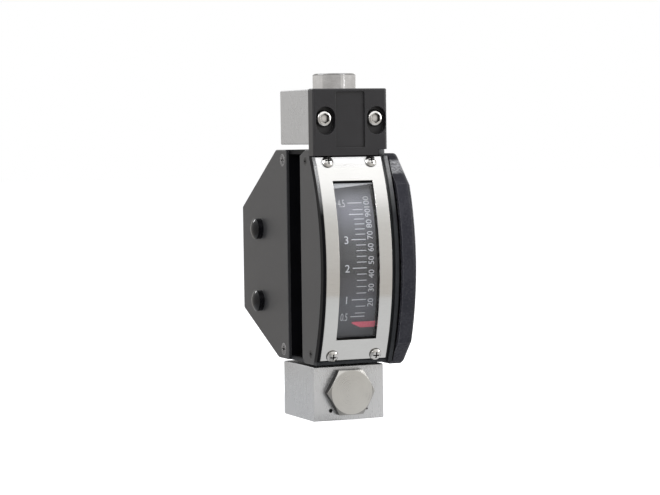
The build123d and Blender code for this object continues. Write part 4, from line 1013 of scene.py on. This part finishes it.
cover_paint = surface_material(
    "cover_paint",
    {
        "Shade": (0.022, 0.022, 0.028, 1),
        # Painted highlight along the edges.
        "Edge Colour": (0.15, 0.15, 0.16, 1),
        "Edge Share": 0.8,
        "Grain Scale": 900.0,
        "Cloud Scale": 90.0,
        "Rough Low": 0.22,
        "Rough High": 0.32,
        "Depth": 0.090 * mm,
        "Edge Radius": 0.4 * mm,
    },
    shader_values={"Specular IOR Level": 0.10},
)
tree = cover_paint.node_tree
# Painted glint: speckles on the front of the top slope.
glint_face = maths(
    tree,
    "MULTIPLY",
    place_share(tree, "Y", *front_depths),
    place_share(tree, "X", *glint_inside),
)
flake_share = flakes(tree, "side_cover", flake_scale, 0.75, flake_levels)
broken_glint = maths(tree, "MULTIPLY", band_share(tree, "Z", *glint_heights), flake_share)
glint_share = maths(tree, "MULTIPLY", broken_glint, glint_face)
# Painted shade on the slope at the top.
slope_shade_share = place_share(tree, "Z", *slope_heights)
paint_and_shade_tone = two_tone(tree, slope_shade_share, cover_tone_low, cover_slope_shade)
feed(cover_paint, "Colour", two_tone(tree, glint_share, paint_and_shade_tone, cover_glint))
dress(cover_paint, "side_cover")
gasket_black = surface_material(
    "gasket_black",
    {
        "Colour": (0.003, 0.003, 0.003, 1),
        "Shade": (0.002, 0.002, 0.002, 1),
        "Edge Colour": (0.004, 0.004, 0.004, 1),
        "Rough Low": 0.6,
        "Rough High": 0.8,
    },
    shader_values={"Specular IOR Level": 0.03},
)
dress(gasket_black, "side_cover_gasket")

# Side plates: two sheet metal covers on the left of the case, finished in an even dark satin
# coat, with a painted highlight along the sheared edges.
plate_satin = surface_material(
    "plate_satin",
    {
        "Colour": (0.032, 0.032, 0.034, 1),
        "Shade": (0.027, 0.027, 0.029, 1),
        # Painted highlight along the sheared edges.
        "Edge Colour": (0.17, 0.17, 0.175, 1),
        "Grain Scale": 3000.0,
        "Cloud Scale": 30.0,
        "Rough Low": 0.36,
        "Rough High": 0.44,
        "Depth": 0.010 * mm,
        "Edge Radius": 0.35 * mm,
        "Edge Share": 0.6,
    },
)
dress(plate_satin, "front_side_plate", "rear_side_plate")

# Hole plugs: domed caps of glossy black plastic, pressed into the two spare holes of the rear
# plate. They are the smoothest black on the meter and hold a small bright spot.
plug_gloss = surface_material(
    "plug_gloss",
    {
        "Colour": (0.003, 0.003, 0.004, 1),
        "Shade": (0.002, 0.002, 0.003, 1),
        "Edge Colour": (0.008, 0.008, 0.008, 1),
        "Grain Scale": 1200.0,
        "Rough Low": 0.10,
        "Rough High": 0.16,
        "Depth": 0.003 * mm,
    },
    shader_values={"Specular IOR Level": 0.28},
)
dress(plug_gloss, "hole_plugs")

# Head cover: a moulded cap screwed to the front of the upper block, in a plain fine-grained black.
# Its middle panel is sunk, painted shade darkens the pockets for its two screws towards their
# floors, and a painted glint lightens its edges.
cap_black = surface_material(
    "cap_black",
    {
        "Colour": (0.014, 0.0135, 0.0155, 1),
        "Shade": (0.011, 0.0105, 0.0125, 1),
        # Painted glint along the edges.
        "Edge Colour": (0.05, 0.05, 0.055, 1),
        # Painted shade in the screw pockets.
        "Hollow Reach": 3.0 * mm,
        "Hollow Shade Share": 1.0,
        "Grain Scale": 3500.0,
        "Cloud Scale": 70.0,
        "Rough Low": 0.32,
        "Rough High": 0.42,
        "Depth": 0.012 * mm,
        "Edge Radius": 0.3 * mm,
    },
)
dress(cap_black, "head_cover")

# Screws: bright plated pan heads on the bezel and in the head cover, with painted shade under
# their rims and in their recesses. Those in the rear plate are a duller grey, with a painted
# highlight on their rims and painted shade in their recesses, and those in the front plate and the
# side cover are blackened.
screw_bright = surface_material(
    "screw_bright",
    {
        "Colour": (0.74, 0.73, 0.71, 1),
        "Shade": (0.66, 0.65, 0.63, 1),
        "Edge Colour": (0.85, 0.85, 0.84, 1),
        "Rough Low": 0.12,
        "Rough High": 0.22,
        "Depth": 0.002 * mm,
        "Edge Radius": 0.12 * mm,
        # Painted shade in the recesses and under the rims.
        "Hollow Reach": 2.0 * mm,
        "Hollow Shade Share": 1.0,
        "Contact Shadow Share": 0.9,
    },
    metallic=1.0,
)
dress(screw_bright, "bezel_screws", "head_cover_screws")
dress(screw_bright, "clamp_screws", "bracket_screws", "dial_screws")
screw_dull = surface_material(
    "screw_dull",
    {
        "Colour": (0.30, 0.30, 0.31, 1),
        "Shade": (0.12, 0.12, 0.13, 1),
        # Painted highlight on the rims.
        "Edge Colour": (0.70, 0.70, 0.72, 1),
        "Grain Scale": 900.0,
        "Cloud Scale": 500.0,
        "Rough Low": 0.20,
        "Rough High": 0.34,
        "Edge Radius": 0.15 * mm,
        "Edge Share": 0.9,
        # Painted shade in the recesses.
        "Hollow Reach": 2.0 * mm,
        "Hollow Shade Share": 1.0,
    },
    metallic=1.0,
)
dress(screw_dull, "rear_plate_screws")
screw_black = surface_material(
    "screw_black",
    {
        "Colour": (0.022, 0.022, 0.023, 1),
        "Shade": (0.016, 0.016, 0.017, 1),
        "Edge Colour": (0.1, 0.1, 0.1, 1),
        "Rough Low": 0.28,
        "Rough High": 0.4,
        "Edge Radius": 0.12 * mm,
    },
    metallic=0.5,
)
dress(screw_black, "front_plate_screws", "side_cover_screws")
